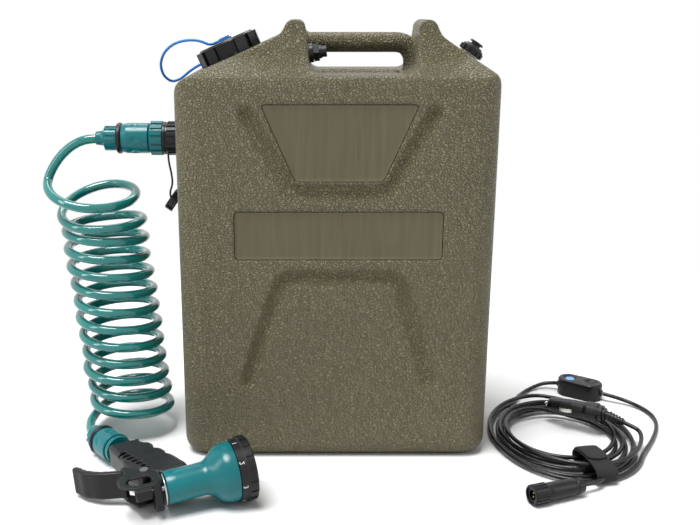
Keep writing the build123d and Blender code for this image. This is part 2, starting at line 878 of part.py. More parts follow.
def make_gun_grip():
    """The hollow handle: a lug for the trigger pin, finger scallops, and seven windows in each side."""
    body = gun * extrude(grip_outline(0), grip_half, both=True)
    long_edges = [edge for edge in body.edges() if abs(abs(local_z(edge)) - grip_half) < 0.1]
    body = fillet(long_edges, grip_round)
    lug = gun * Pos(*lever_pivot, 0) * Cylinder(lug_radius, 2 * grip_half)
    web = make_face(Polyline((-13.5, 17), (-4, 20.5), (4, 17), (10, 30), (-9, 36), close=True))
    body = body + (gun * extrude(web, grip_half, both=True) + lug)
    for index in range(4):
        x = 42.5 - 9.2 * index
        y = 36.0 + 22.5 * index
        body = body - gun * Pos(x, y, 0) * Cylinder(10.5, 4 * grip_half)
    body = body - rod(barrel_radius + running_gap, barrel_start - running_gap, 60, barrel_axis)
    body = body - rod(60, grip_length, grip_length + 40, handle_axis)
    hollow = gun * extrude(grip_outline(grip_wall), grip_half - grip_wall, both=True)
    hollow = hollow & block((80, 80, 76), (0, 0, 62), handle_axis)
    body = body - hollow
    body = body - rod(core_tube_radius + 0.1, -20, grip_length + 1, handle_axis)
    for index in range(windows):
        share = index / (windows - 1)
        x = window_first[0] + (window_last[0] - window_first[0]) * share
        y = window_first[1] + (window_last[1] - window_first[1]) * share
        oval = Ellipse(2.6 - 0.9 * share, 6.2 - 2.0 * share)
        body = body - gun * Pos(x, y, 0) * Rot(0, 0, 25) * extrude(oval, 2 * grip_half, both=True)
    return body - gun * Pos(*lever_pivot, 0) * Cylinder(pin_radius + 0.02, 4 * grip_half)


def local_z(edge):
    """How far an edge's middle lies from the gun's own middle plane."""
    return (edge.center() - Vector(*gun_origin)).dot(gun_z)


def make_gun_core():
    tube = rod(core_tube_radius, -10, grip_length - 0.2, handle_axis)
    tube = tube - rod(barrel_radius + 0.02, -60, 90, barrel_axis)
    tube = tube - rod(core_tube_bore, -40, grip_length - 11, handle_axis)
    return tube - rod(core_tube_bore + 0.5, grip_length - 11, grip_length + 1, handle_axis)


def make_gun_barrel():
    cone = valve_seat + valve_seat_thick
    profile = [
        (stem_radius + running_gap, barrel_start),
        (barrel_radius, barrel_start),
        (barrel_radius, barrel_straight),
        (barrel_radius + 3.0, barrel_straight + 6),
        (barrel_radius + 9.0, barrel_straight + 16),
        (flare_radius - 1.5, barrel_end - 10),
        (flare_radius, barrel_end - 3),
        (flare_radius, barrel_end),
        (dial_post_radius, barrel_end),
        (dial_post_radius, dial_post_end),
        (dial_post_radius - 3, dial_post_end),
        (dial_post_radius - 3, barrel_end - 6),
        (valve_seat_bore, cone + 4),
        (valve_seat_bore, valve_seat),
        (chamber_radius, valve_seat),
        (chamber_radius, barrel_start + barrel_back_wall),
        (stem_radius + running_gap, barrel_start + barrel_back_wall),
    ]
    return turned(profile, barrel_axis) - rod(core_tube_bore, -4, 8, handle_axis)


def make_valve_stem():
    head = stem_end - stem_head_thick
    return turned([
        (0, stem_start), (stem_radius, stem_start), (stem_radius, head), (stem_head_radius, head),
        (stem_head_radius, stem_end), (0, stem_end),
    ], barrel_axis)


def make_valve_seal():
    return rod(stem_head_radius, stem_end, valve_seat - seal_gap, barrel_axis)


def make_valve_spring():
    """The return spring round the stem, on the barrel's back wall."""
    low = barrel_start + barrel_back_wall
    turns = 4
    pitch = (spring_end - low - 1.6) / turns
    coil = Helix(pitch=pitch, height=pitch * turns, radius=5.0)
    start = Plane(origin=coil @ 0, z_dir=coil % 0)
    spring = sweep(start * Circle(0.75), path=coil, is_frenet=True)
    return barrel_axis * Pos(0, 0, low + 0.8) * spring


def make_flow_knob():
    body = rod(knob_radius - 1.2, knob_start, knob_end, barrel_axis)
    for index in range(5):
        lobe = Rot(0, 0, 72 * index) * Pos(knob_radius - 2.6, 0, 0)
        body = body + rod(2.6, knob_start + 1, knob_end - 1, barrel_axis * lobe)
    return body - rod(stem_radius + running_gap, knob_start - 1, knob_end + 1, barrel_axis)


def make_trigger_lever():
    """Two cheeks on the pin, a fork behind the barrel that pulls the knob, and a paddle for the palm."""
    cheek_face = rounded_outline([
        (4.0, 3.0, 4), (4.5, -15.0, 4.4), (-6.0, -16.0, 4), (-6.5, -5.0, 3), (-12.0, 1.0, 4),
        (-21.5, 0.0, 4),
        (-24.0, -13.0, 4.2), (-34.0, -11.0, 4.2), (-36.0, 4.0, 8), (-27.0, 19.0, 6), (-30.0, 33.0, 2),
        (-24.5, 36.5, 2),
        (-13.0, 24.5, 8), (0.0, 21.0, 6),
    ])
    middle = plate_inner + plate_thick / 2
    cheek = extrude(cheek_face, plate_thick / 2, both=True)
    body = gun * Pos(0, 0, middle) * cheek + gun * Pos(0, 0, -middle) * cheek
    fork_face = make_face(Polyline((-4.8, -12), (3.2, -12), (3.2, 3), (-4.8, 3), close=True))
    fork = extrude(fork_face, plate_inner + 1, both=True)
    slot = Pos(-1, 1.5, 0) * Box(12, 10, 6.4)
    body = body + gun * (fork - slot)
    paddle = rounded_outline([
        (-22.5, 31.0, 1), (-31.0, 36.0, 20), (-49.0, 44.5, 22), (-61.0, 56.0, 18), (-68.0, 72.0, 2),
        (-74.5, 69.5, 2), (-66.5, 52.0, 20), (-52.5, 38.5, 24), (-33.5, 30.5, 10), (-27.0, 26.5, 1),
    ])
    paddle_body = extrude(paddle, plate_inner + 0.5, both=True)
    body = body + gun * paddle_body
    return body - gun * Pos(*lever_pivot, 0) * Cylinder(pin_radius + running_gap, 6 * grip_half)


def make_trigger_pin():
    outer = plate_inner + plate_thick + 0.3
    pin = Cylinder(pin_radius, 2 * outer)
    head = Cylinder(pin_head_radius, 1.4)
    pair = Pos(0, 0, outer + 0.7) * head + Pos(0, 0, -outer - 0.7) * head
    return gun * Pos(*lever_pivot, 0) * (pin + pair)


def make_nozzle_dial():
    inner = dial_band_radius - dial_wall
    profile = [
        (inner, dial_start), (dial_band_radius, dial_start), (dial_band_radius, dial_band_end),
        (dial_rim_radius - 1.4, dial_band_end), (dial_rim_radius, dial_band_end + 1.4),
        (dial_rim_radius, dial_end - 1.2), (dial_rim_radius - 1.2, dial_end), (inner, dial_end),
    ]
    body = turned(profile, barrel_axis)
    notch_middle = (dial_band_end + dial_end) / 2 + 1.6
    for index in range(dial_notches):
        turn = Rot(0, 0, 360 * index / dial_notches)
        notch = Pos(dial_rim_radius + 0.4, 0, notch_middle) * Box(3, 4.4, dial_end - dial_band_end)
        body = body - barrel_axis * turn * notch
    return body


def make_nozzle_face():
    inner = dial_band_radius - dial_wall
    face_end = face_start + face_thick
    body = turned([
        (dial_post_radius + running_gap, dial_start), (dial_post_radius + 3, dial_start),
        (dial_post_radius + 3, face_start),
        (inner, face_start), (inner, face_end), (0, face_end), (0, face_start),
        (dial_post_radius + running_gap, face_start),
    ], barrel_axis)
    for rings, radius in ((8, 6.0), (12, 17.5), (18, 24.0)):
        for index in range(rings):
            way = Rot(0, 0, 360 * index / rings) * Pos(radius, 0, 0)
            body = body - rod(spray_hole * 1.6, face_end - 1.2, face_end + 1, barrel_axis * way)
    return body


def make_socket_body():
    body = turned([
        (0, -socket_tail), (socket_stub, -socket_tail), (socket_stub, 1.2), (socket_flange, 1.2),
        (socket_flange, 5), (socket_stub + 1, 5),
        (socket_stub + 1, 14), (socket_stub, 14), (socket_stub, 19.5), (socket_stub - 1.6, 19.5),
        (socket_stub - 1.6, 8),
        (0, 8),
    ], socket)
    return body - block((3, 14, 6), (0, 0, 18), socket)


def make_socket_washer():
    return collar(socket_flange, socket_stub + 0.3, 0, 1.2, socket)


def make_socket_nut():
    nut = socket * Pos(0, 0, 5.3) * extrude(RegularPolygon(9, 6, major_radius=False), 6)
    return nut - rod(socket_stub + 1 + running_gap, 0, 20, socket)


pump_place = Pos(pump_x, pump_y, wall + pump_gap)


def make_pump_casing():
    top = pump_foot + pump_height
    body = turned([
        (impeller_radius + 0.8, pump_foot), (pump_radius, pump_foot), (pump_radius, top - 3),
        (pump_radius - 3, top),
        (6, top), (6, top + 12), (4, top + 12), (4, top - 2), (0, top - 2), (0, pump_foot + 16),
        (2.05, pump_foot + 16),
        (2.05, pump_foot + 14), (impeller_radius + 0.8, pump_foot + 14),
    ], pump_place)
    gland = pump_place * Pos(gland_offset, 0, top) * Cylinder(3.4, 8)
    return body + gland


def make_pump_strainer():
    body = turned([
        (0, 0), (pump_radius + 1, 0), (pump_radius + 1, pump_foot - 0.3),
        (impeller_radius + 3, pump_foot - 0.3),
        (impeller_radius + 3, 2.5), (0, 2.5),
    ], pump_place)
    for index in range(12):
        slot = Rot(0, 0, 30 * index) * Pos(pump_radius, 0, pump_foot / 2) * Box(12, 3, pump_foot - 6)
        body = body - pump_place * slot
    return body


def make_pump_impeller():
    low = pump_foot + 1
    body = rod(impeller_radius, low, low + 1.6, pump_place) + rod(4, low, low + 10, pump_place)
    body = body + rod(2.0, low, low + 14.4, pump_place)
    for rib in ribs(6, 4, impeller_radius, 1.6, low + 0.5, low + 9, pump_place):
        body = body + rib
    return body


def make_pump_hose():
    """The delivery hose: up beside the back wall, across, and round to the barb inside the outlet."""
    top = wall + pump_gap + pump_foot + pump_height + pump_spout + seal_gap
    barb = inner_barb + seal_gap - half_width
    run = pump_x - barb - hose_bend
    rise = outlet_z - top
    climb = [(pump_x - across * run, pump_y + y, top + up * rise) for across, y, up in pump_hose_climb]
    return cord_tube("pump_hose", [
        (pump_x, pump_y, top),
        *climb,
        (barb + hose_bend, pump_y - 9, outlet_z),
        (barb + 28.5, 17, outlet_z),
        (barb + 20, 0, outlet_z),
        (barb, 0, outlet_z),
    ], 2 * pump_hose_radius)


def make_pump_cable():
    """The pump's cable: up beside the back wall, under the trough, and into the socket in the left horn."""
    gland_x = pump_x + gland_offset
    top = wall + pump_gap + pump_foot + pump_height + gland_height + seal_gap
    ceiling = gap_floor - trough_depth - wall - cable_below_trough
    end_x = socket_x - cable_turn
    climb = []
    for across, along, up in pump_cable_climb:
        x = gland_x + across * (end_x - gland_x)
        y = pump_y + along * (socket_y - pump_y)
        climb.append((x, y, top + up * (ceiling - top)))
    return cord_tube("pump_cable", [
        (gland_x, pump_y, top),
        *climb,
        (end_x + 14, socket_y + 3, ceiling + 3.9),
        (end_x, socket_y, ceiling + 16.4),
        tuple((socket * Pos(0, 0, -socket_tail - 20)).position),
        tuple((socket * Pos(0, 0, -socket_tail - seal_gap)).position),
    ], 2 * pump_cable_radius)


def make_lead_coil():
    base = tie_thick + 0.3
    outer = extrude(Pos(*lead_centre, base) * Ellipse(*lead_outer), lead_height)
    inner = extrude(Pos(*lead_centre, base) * Ellipse(*lead_inner), lead_height)
    ring = outer - inner
    return fillet(ring.edges(), lead_round)


def make_lead_tie():
    """The hook-and-loop strap round the coil."""
    angle = math.radians(tie_heading)
    width = lead_outer[1] - lead_inner[1]
    middle = (lead_outer[1] + lead_inner[1]) / 2 + 0.2
    x = lead_centre[0] + middle * math.cos(angle) * 0.8
    y = lead_centre[1] + middle * math.sin(angle)
    place = Plane(origin=(x, y, 0), x_dir=(math.cos(angle), math.sin(angle), 0), z_dir=(0, 0, 1)).location
    height = lead_height + 2 * (tie_thick + 0.3)
    long = width + 7
    shell = extrude(RectangleRounded(long, height, 6), tie_width / 2, both=True)
    inside = RectangleRounded(long - 2 * tie_thick, height - 2 * tie_thick, 4.2)
    loop = shell - extrude(inside, tie_width, both=True)
    return place * Pos(0, 0, height / 2) * Rot(90, 0, 0) * loop


def plug_frame():
    turn = math.radians(plug_heading)
    rise = math.radians(plug_rise)
    way = (math.cos(turn) * math.cos(rise), math.sin(turn) * math.cos(rise), math.sin(rise))
    return tube_frame(plug_tip_at, way, (0, 0, 1))


plug = plug_frame()


def make_plug_body():
    profile = [
        (plug_tip_radius + running_gap, 2.5), (5.5, 2.5), (7.2, 4.5), (8.8, 9), (9.0, 13),
        (plug_radius - 0.6, 20),
        (plug_radius, 34), (plug_radius, 48), (plug_radius + 1.3, 52),
        (plug_radius + 1.3, plug_length - 6),
        (plug_radius - 0.6, plug_length - 4), (plug_radius - 0.6, plug_length), (0, plug_length), (0, 17),
        (plug_tip_radius + 1.5, 17), (plug_tip_radius + 1.5, 6.5), (plug_tip_radius + running_gap, 6.5),
    ]
    body = turned(profile, plug)
    for side in (-1, 1):
        body = body - block((5.3, 8, 17), (0, side * (contact_reach - 3), 27), plug)
    return body


def make_plug_tip():
    return turned([
        (0, -1.6), (1.6, -1.6), (plug_tip_radius, 0.4), (plug_tip_radius, 7.4),
        (plug_tip_radius + 1.2, 7.4),
        (plug_tip_radius + 1.2, 10), (0, 10),
    ], plug)


def make_plug_contact(side):
    """A bowed side contact in its slot."""
    deep = 3.4
    bow = Pos(0, side * (contact_reach - 14), 27) * Rot(0, 90, 0) * Cylinder(14, 4.5)
    keep = Pos(0, side * (contact_reach - deep / 2), 27) * Box(4.5, deep, 16)
    return plug * (bow & keep)


relief = plug * Pos(0, 0, plug_length + 1.8) * Rot(0, -relief_drop, 0)


def make_plug_strain_relief():
    """The ribbed cable sleeve behind the plug, bent down a little."""
    body = rod(7.4, plug_length, plug_length + 3.4, plug)
    body = body + turned([(0, 0), (5.2, 0), (3.6, relief_length), (0, relief_length)], relief)
    for index in range(5):
        low = 5.5 + 3.6 * index
        body = body + rod(6.2 - 0.35 * index, low, low + 1.8, relief)
    return body


def plug_run_points():
    return [
        tuple((relief * Pos(0, 0, relief_length)).position),
        tuple((relief * Pos(0, 0, relief_length + 10)).position),
        (358.0, -54.0, 18.5),
        (361.5, -65.0, 15.0),
    ]


switch = Pos(*switch_at, 0) * Rot(0, 0, switch_heading)


def make_switch_housing():
    long, wide, high = switch_size
    base = 0.2
    body = extrude(SlotOverall(long, wide), high)
    top = [edge for edge in body.edges() if edge.center().Z > high - 0.1]
    body = fillet(top, 3.0)
    for side in (-1, 1):
        body = body - Pos(side * button_offset, 0, high + 17.5) * Sphere(20.0)
    body = body - Pos(-button_offset, 0, high) * Cylinder(button_size + 0.3, 12)
    for side in (-1, 1):
        body = body + Pos(side * (long / 2 - 1), 0, 10) * Rot(0, 90, 0) * Cylinder(4.0, 5)
    return switch * Pos(0, 0, base) * body


def make_switch_button():
    high = switch_size[2] + 0.2
    low = high - 6 + 0.3 + button_travel
    top = high - 2.5 + button_stand
    profile = [(0, low), (button_size, low), (button_size, top - 0.8), (button_size - 0.8, top), (0, top)]
    return turned(profile, switch * Pos(-button_offset, 0, 0))


def connector_frame():
    turn = math.radians(connector_heading)
    return tube_frame(connector_face_at, (math.cos(turn), math.sin(turn), 0), (0, 0, 1))


connector = connector_frame()


def make_connector_nut():
    inner = connector_nut_radius - 2.2
    root = connector_nut_radius - 0.7
    body = collar(root, inner, 0, connector_nut_length, connector)
    for rib in ribs(16, root, connector_nut_radius, 2.6, 0.8, connector_nut_length - 0.8, connector):
        body = body + rib
    return body


def make_connector_body():
    inner = connector_nut_radius - 2.2 - running_gap
    low = connector_nut_length + 0.3
    socket_bore = 5.6
    return turned([
        (0, 10), (socket_bore, 10), (socket_bore, 1.5), (inner, 1.5), (inner, low),
        (connector_radius, low),
        (connector_radius + 0.5, low + 4), (connector_radius, connector_length - 14),
        (connector_radius - 0.9, connector_length - 13),
        (connector_radius - 0.9, connector_length - 9), (connector_radius - 0.2, connector_length - 8),
        (connector_radius - 1.2, connector_length - 1), (connector_radius - 2.2, connector_length),
        (0, connector_length),
    ], connector)


def make_connector_pins():
    pins = []
    for side in (-1, 1):
        pins.append(connector * Pos(side * 2.2, 0, 6.4) * Cylinder(0.9, 7.2))
    return Compound(children=pins)


def connector_run_points():
    return [
        tuple((connector * Pos(0, 0, connector_length)).position),
        tuple((connector * Pos(0, 0, connector_length + 11)).position),
        (279.0, -158.5, 10.0),
        (286.5, -150.0, 10.0),
    ]


# One STEP file for each piece, named as its node
PIECES = {
    "can_body": make_can_body,
    "filler_cap": make_filler_cap,
    "filler_cap_seal": make_filler_cap_seal,
    "cap_strap_ring": make_cap_strap_ring,
    "cap_strap": make_cap_strap,
    "vent_collar": make_vent_collar,
    "vent_knob": make_vent_knob,
    "vent_seal": make_vent_seal,
    "outlet_washer": make_outlet_washer,
    "outlet_bulkhead": make_outlet_bulkhead,
    "outlet_lock_nut": make_outlet_lock_nut,
    "outlet_dust_cap": make_outlet_dust_cap,
    "tap_adaptor": make_tap_adaptor,
    "outlet_connector_core": lambda: make_connector_core(outlet_click),
    "outlet_connector_sleeve": lambda: make_connector_sleeve(outlet_click),
    "outlet_connector_ring": lambda: make_connector_ring(outlet_click),
    "outlet_hose_nut": lambda: make_hose_nut(outlet_click),
    "hose_lead_in": make_hose_lead_in,
    "hose_coil": make_hose_coil,
    "hose_tail": make_hose_tail,
    "gun_adaptor": make_gun_adaptor,
    "gun_connector_core": lambda: make_connector_core(gun_click),
    "gun_connector_sleeve": lambda: make_connector_sleeve(gun_click),
    "gun_connector_ring": lambda: make_connector_ring(gun_click),
    "gun_hose_nut": lambda: make_hose_nut(gun_click),
    "gun_grip": make_gun_grip,
    "gun_core": make_gun_core,
    "gun_barrel": make_gun_barrel,
    "trigger_lever": make_trigger_lever,
    "trigger_pin": make_trigger_pin,
    "valve_stem": make_valve_stem,
    "valve_seal": make_valve_seal,
    "valve_spring": make_valve_spring,
    "flow_knob": make_flow_knob,
    "nozzle_dial": make_nozzle_dial,
    "nozzle_face": make_nozzle_face,
    "socket_body": make_socket_body,
    "socket_washer": make_socket_washer,
    "socket_nut": make_socket_nut,
    "pump_casing": make_pump_casing,
    "pump_strainer": make_pump_strainer,
    "pump_impeller": make_pump_impeller,
    "pump_hose": make_pump_hose,
    "pump_cable": make_pump_cable,
    "lead_coil": make_lead_coil,
    "lead_tie": make_lead_tie,
    "lead_run_left": lambda: cord_tube("lead_run_left", lead_left_points, cable_diameter),
    "lead_run_right": lambda: cord_tube("lead_run_right", lead_right_points, cable_diameter),
    "lead_run_plug": lambda: cord_tube("lead_run_plug", plug_run_points(), cable_diameter),
    "lead_run_connector": lambda: cord_tube("lead_run_connector", connector_run_points(), cable_diameter),
    "plug_body": make_plug_body,
    "plug_tip": make_plug_tip,
    "plug_contact_left": lambda: make_plug_contact(-1),
    "plug_contact_right": lambda: make_plug_contact(1),
    "plug_strain_relief": make_plug_strain_relief,
    "switch_housing": make_switch_housing,
    "switch_button": make_switch_button,
    "connector_body": make_connector_body,
    "connector_nut": make_connector_nut,
    "connector_pins": make_connector_pins,
}

os.makedirs("parts", exist_ok=True)
for name, make in PIECES.items():
    export_step(make(), f"parts/{name}.step")
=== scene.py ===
import json
import math
import random

import bmesh
import bpy
from mathutils import Matrix, Vector, noise


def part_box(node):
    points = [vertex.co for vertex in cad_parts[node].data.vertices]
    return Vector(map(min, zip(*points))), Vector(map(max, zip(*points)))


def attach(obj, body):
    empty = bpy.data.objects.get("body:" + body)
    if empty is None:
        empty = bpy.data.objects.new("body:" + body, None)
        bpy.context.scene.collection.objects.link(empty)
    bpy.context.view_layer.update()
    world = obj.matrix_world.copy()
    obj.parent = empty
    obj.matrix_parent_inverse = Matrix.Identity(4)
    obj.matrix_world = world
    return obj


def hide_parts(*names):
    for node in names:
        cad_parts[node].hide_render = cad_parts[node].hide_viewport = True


# %% [markdown]
# # Portable shower
#
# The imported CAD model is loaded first. Its nodes sit at the origin with their place in their meshes, in metres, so
# every piece made here goes straight to where the CAD says.

# %% Load the frame
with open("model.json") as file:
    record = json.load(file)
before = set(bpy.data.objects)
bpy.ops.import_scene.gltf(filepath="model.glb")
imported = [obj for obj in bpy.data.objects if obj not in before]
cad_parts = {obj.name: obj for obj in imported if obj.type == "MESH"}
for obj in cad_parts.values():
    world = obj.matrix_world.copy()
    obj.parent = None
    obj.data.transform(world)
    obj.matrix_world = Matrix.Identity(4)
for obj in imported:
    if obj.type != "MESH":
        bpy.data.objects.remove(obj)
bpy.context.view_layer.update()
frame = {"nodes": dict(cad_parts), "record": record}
nodes = frame["nodes"]
MM = 0.001

# %% [markdown]
# ## Camera, light and floor
#
# The camera stands where the photographer's did: level with the top of the can, a metre in front of it, looking a
# little down. The picture was cropped off centre, which the sensor's shift repeats.

# %% Camera
scene = bpy.context.scene
scene.view_settings.view_transform = "Standard"

CAMERA_PLACE = Vector((-0.032, -1.0573, 0.4955))
CAMERA_PITCH = math.radians(90 - 15.2)
CAMERA_LENS = 48.1
CAMERA_SHIFT = 0.0614

camera_data = bpy.data.cameras.new("camera")
camera_data.sensor_width = 36
camera_data.lens = CAMERA_LENS
camera_data.shift_x = CAMERA_SHIFT
camera = bpy.data.objects.new("camera", camera_data)
camera.location = CAMERA_PLACE
camera.rotation_euler = (CAMERA_PITCH, 0, 0)
scene.collection.objects.link(camera)
scene.camera = camera


# %% Light and floor
def area_light(name, place, target, size, power):
    """A soft box at a place, turned to face a target."""
    data = bpy.data.lights.new(name, "AREA")
    data.shape = "RECTANGLE"
    data.size, data.size_y = size
    data.energy = power
    lamp = bpy.data.objects.new(name, data)
    lamp.location = place
    lamp.rotation_euler = (Vector(target) - Vector(place)).to_track_quat("-Z", "Y").to_euler()
    scene.collection.objects.link(lamp)


area_light("left_box", (-1.5, -0.7, 0.9), (-0.2, 0, 0.25), (0.35, 1.3), 8)
area_light("right_box", (1.5, -0.7, 0.9), (0.2, 0, 0.25), (0.35, 1.3), 5)
area_light("rim_box", (0.0, 1.0, 1.5), (0.0, 0.0, 0.42), (1.6, 0.5), 9)

sun_data = bpy.data.lights.new("sky_panel", "SUN")
sun_data.energy = 3.5
sun_data.angle = math.radians(28)
sun = bpy.data.objects.new("sky_panel", sun_data)
sun.rotation_euler = (math.radians(11), math.radians(-13), 0)
scene.collection.objects.link(sun)

AMBIENT = 0.16
world = bpy.data.worlds.new("studio")
world.use_nodes = True
world_tree = world.node_tree
backdrop = world_tree.nodes["Background"]
backdrop.inputs["Color"].default_value = (1, 1, 1, 1)
light_path = world_tree.nodes.new("ShaderNodeLightPath")
seen = light_path.outputs["Is Camera Ray"]
for other_ray in ("Is Glossy Ray", "Is Transmission Ray"):
    either = world_tree.nodes.new("ShaderNodeMath")
    either.operation = "MAXIMUM"
    world_tree.links.new(seen, either.inputs[0])
    world_tree.links.new(light_path.outputs[other_ray], either.inputs[1])
    seen = either.outputs["Value"]
seen_or_lit = world_tree.nodes.new("ShaderNodeMapRange")
seen_or_lit.inputs["To Min"].default_value = AMBIENT
seen_or_lit.inputs["To Max"].default_value = 1.0
world_tree.links.new(seen, seen_or_lit.inputs["Value"])
world_tree.links.new(seen_or_lit.outputs["Result"], backdrop.inputs["Strength"])
scene.world = world

floor_mesh = bpy.data.meshes.new("floor")
FLOOR_HALF = 6.0
floor_mesh.from_pydata(
    [(-FLOOR_HALF, -FLOOR_HALF, 0), (FLOOR_HALF, -FLOOR_HALF, 0), (FLOOR_HALF, FLOOR_HALF, 0), (-FLOOR_HALF, FLOOR_HALF, 0)],
    [], [(0, 1, 2, 3)])
floor = bpy.data.objects.new("floor", floor_mesh)
scene.collection.objects.link(floor)
print("camera, lights and floor are set")

# %% [markdown]
# ## Materials
#
# Each material is built from nodes: a base colour that drifts a little over the surface, a fine grain in the bump,
# roughness that varies, and rounded edges from the Bevel node.

# %% Material helpers
def srgb(red, green, blue):
    """A colour given as 0 to 255 screen values, as the linear values that shaders use."""
    def linear(value):
        value = value / 255
        return value / 12.92 if value <= 0.04045 else ((value + 0.055) / 1.055) ** 2.4
    return (linear(red), linear(green), linear(blue), 1)


def new_material(name):
    material = bpy.data.materials.new(name)
    material.use_nodes = True
    tree = material.node_tree
    shader = tree.nodes["Principled BSDF"]
    return material, tree, shader


def add(tree, kind, **settings):
    """A node of a kind, with its inputs set by name."""
    node = tree.nodes.new(kind)
    for key, value in settings.items():
        node.inputs[key].default_value = value
    return node


def noise_node(tree, scale, detail=3.0, roughness=0.55):
    coordinates = tree.nodes.new("ShaderNodeTexCoord")
    texture = add(tree, "ShaderNodeTexNoise", Scale=scale, Detail=detail, Roughness=roughness)
    tree.links.new(coordinates.outputs["Object"], texture.inputs["Vector"])
    return texture.outputs["Fac"]


def ramp(tree, source, low, high, low_at=0.3, high_at=0.7):
    """Maps a noise value onto a span of values or colours."""
    node = tree.nodes.new("ShaderNodeValToRGB")
    node.color_ramp.elements[0].position = low_at
    node.color_ramp.elements[1].position = high_at
    node.color_ramp.elements[0].color = low
    node.color_ramp.elements[1].color = high
    tree.links.new(source, node.inputs["Fac"])
    return node.outputs["Color"]


def grey(value):
    return (value, value, value, 1)


def shaded(color, factor):
    return (color[0] * factor, color[1] * factor, color[2] * factor, 1)


def moulded(name, color, roughness, grain=900.0, grain_depth=0.00006, drift=0.12, edge=0.0005, **more):
    """Moulded plastic or rubber: drifting colour, grained surface, edges rounded a little."""
    material, tree, shader = new_material(name)
    tint = ramp(tree, noise_node(tree, 14.0), shaded(color, 1 - drift), shaded(color, 1 + drift))
    tree.links.new(tint, shader.inputs["Base Color"])
    rough = ramp(tree, noise_node(tree, 60.0), grey(max(roughness - 0.06, 0.02)), grey(roughness + 0.06))
    tree.links.new(rough, shader.inputs["Roughness"])
    bump = add(tree, "ShaderNodeBump", Strength=1.0, Distance=grain_depth)
    tree.links.new(noise_node(tree, grain, 2.0), bump.inputs["Height"])
    if edge:
        bevel = add(tree, "ShaderNodeBevel", Radius=edge)
        bevel.samples = 6
        tree.links.new(bevel.outputs["Normal"], bump.inputs["Normal"])
    tree.links.new(bump.outputs["Normal"], shader.inputs["Normal"])
    for key, value in more.items():
        shader.inputs[key.replace("_", " ")].default_value = value
    return material


# %% Node arithmetic
def value_of(tree, kind, *inputs, clamp=False):
    """One step of arithmetic on numbers or other nodes' outputs."""
    node = tree.nodes.new("ShaderNodeMath")
    node.operation = kind
    node.use_clamp = clamp
    for socket, value in zip(node.inputs, inputs):
        if hasattr(value, "links"):
            tree.links.new(value, socket)
        else:
            socket.default_value = value
    return node.outputs["Value"]


def stepped(tree, value, low, high):
    """0 below low, 1 above high, and smooth between."""
    node = tree.nodes.new("ShaderNodeMapRange")
    node.interpolation_type = "SMOOTHSTEP"
    node.inputs["From Min"].default_value = low
    node.inputs["From Max"].default_value = high
    tree.links.new(value, node.inputs["Value"])
    return node.outputs["Result"]


def inside_trapezoid(tree, x, z, corners, edge=0.0006):
    """1 inside an upright trapezoid given by its lower and upper z and its sides' x at each."""
    (z_low, left_low, right_low), (z_high, left_high, right_high) = corners
    share = value_of(tree, "DIVIDE", value_of(tree, "SUBTRACT", z, z_low), z_high - z_low)
    left = value_of(tree, "MULTIPLY_ADD", share, left_high - left_low, left_low)
    right = value_of(tree, "MULTIPLY_ADD", share, right_high - right_low, right_low)
    spans = [value_of(tree, "SUBTRACT", x, left), value_of(tree, "SUBTRACT", right, x),
             value_of(tree, "SUBTRACT", z, z_low), value_of(tree, "SUBTRACT", z_high, z)]
    nearest = spans[0]
    for span in spans[1:]:
        nearest = value_of(tree, "SMOOTH_MIN", nearest, span, 0.008)
    return stepped(tree, nearest, -edge, edge)


# %% Can material
UPPER_PANEL = ((0.3190, -0.0447, 0.0491), (0.3994, -0.0805, 0.0845))
MIDDLE_PANEL = ((0.2339, -0.1100, 0.1135), (0.2862, -0.1100, 0.1135))
PANEL_DEPTH = 0.0012
LEATHER_DEPTH = 0.0016


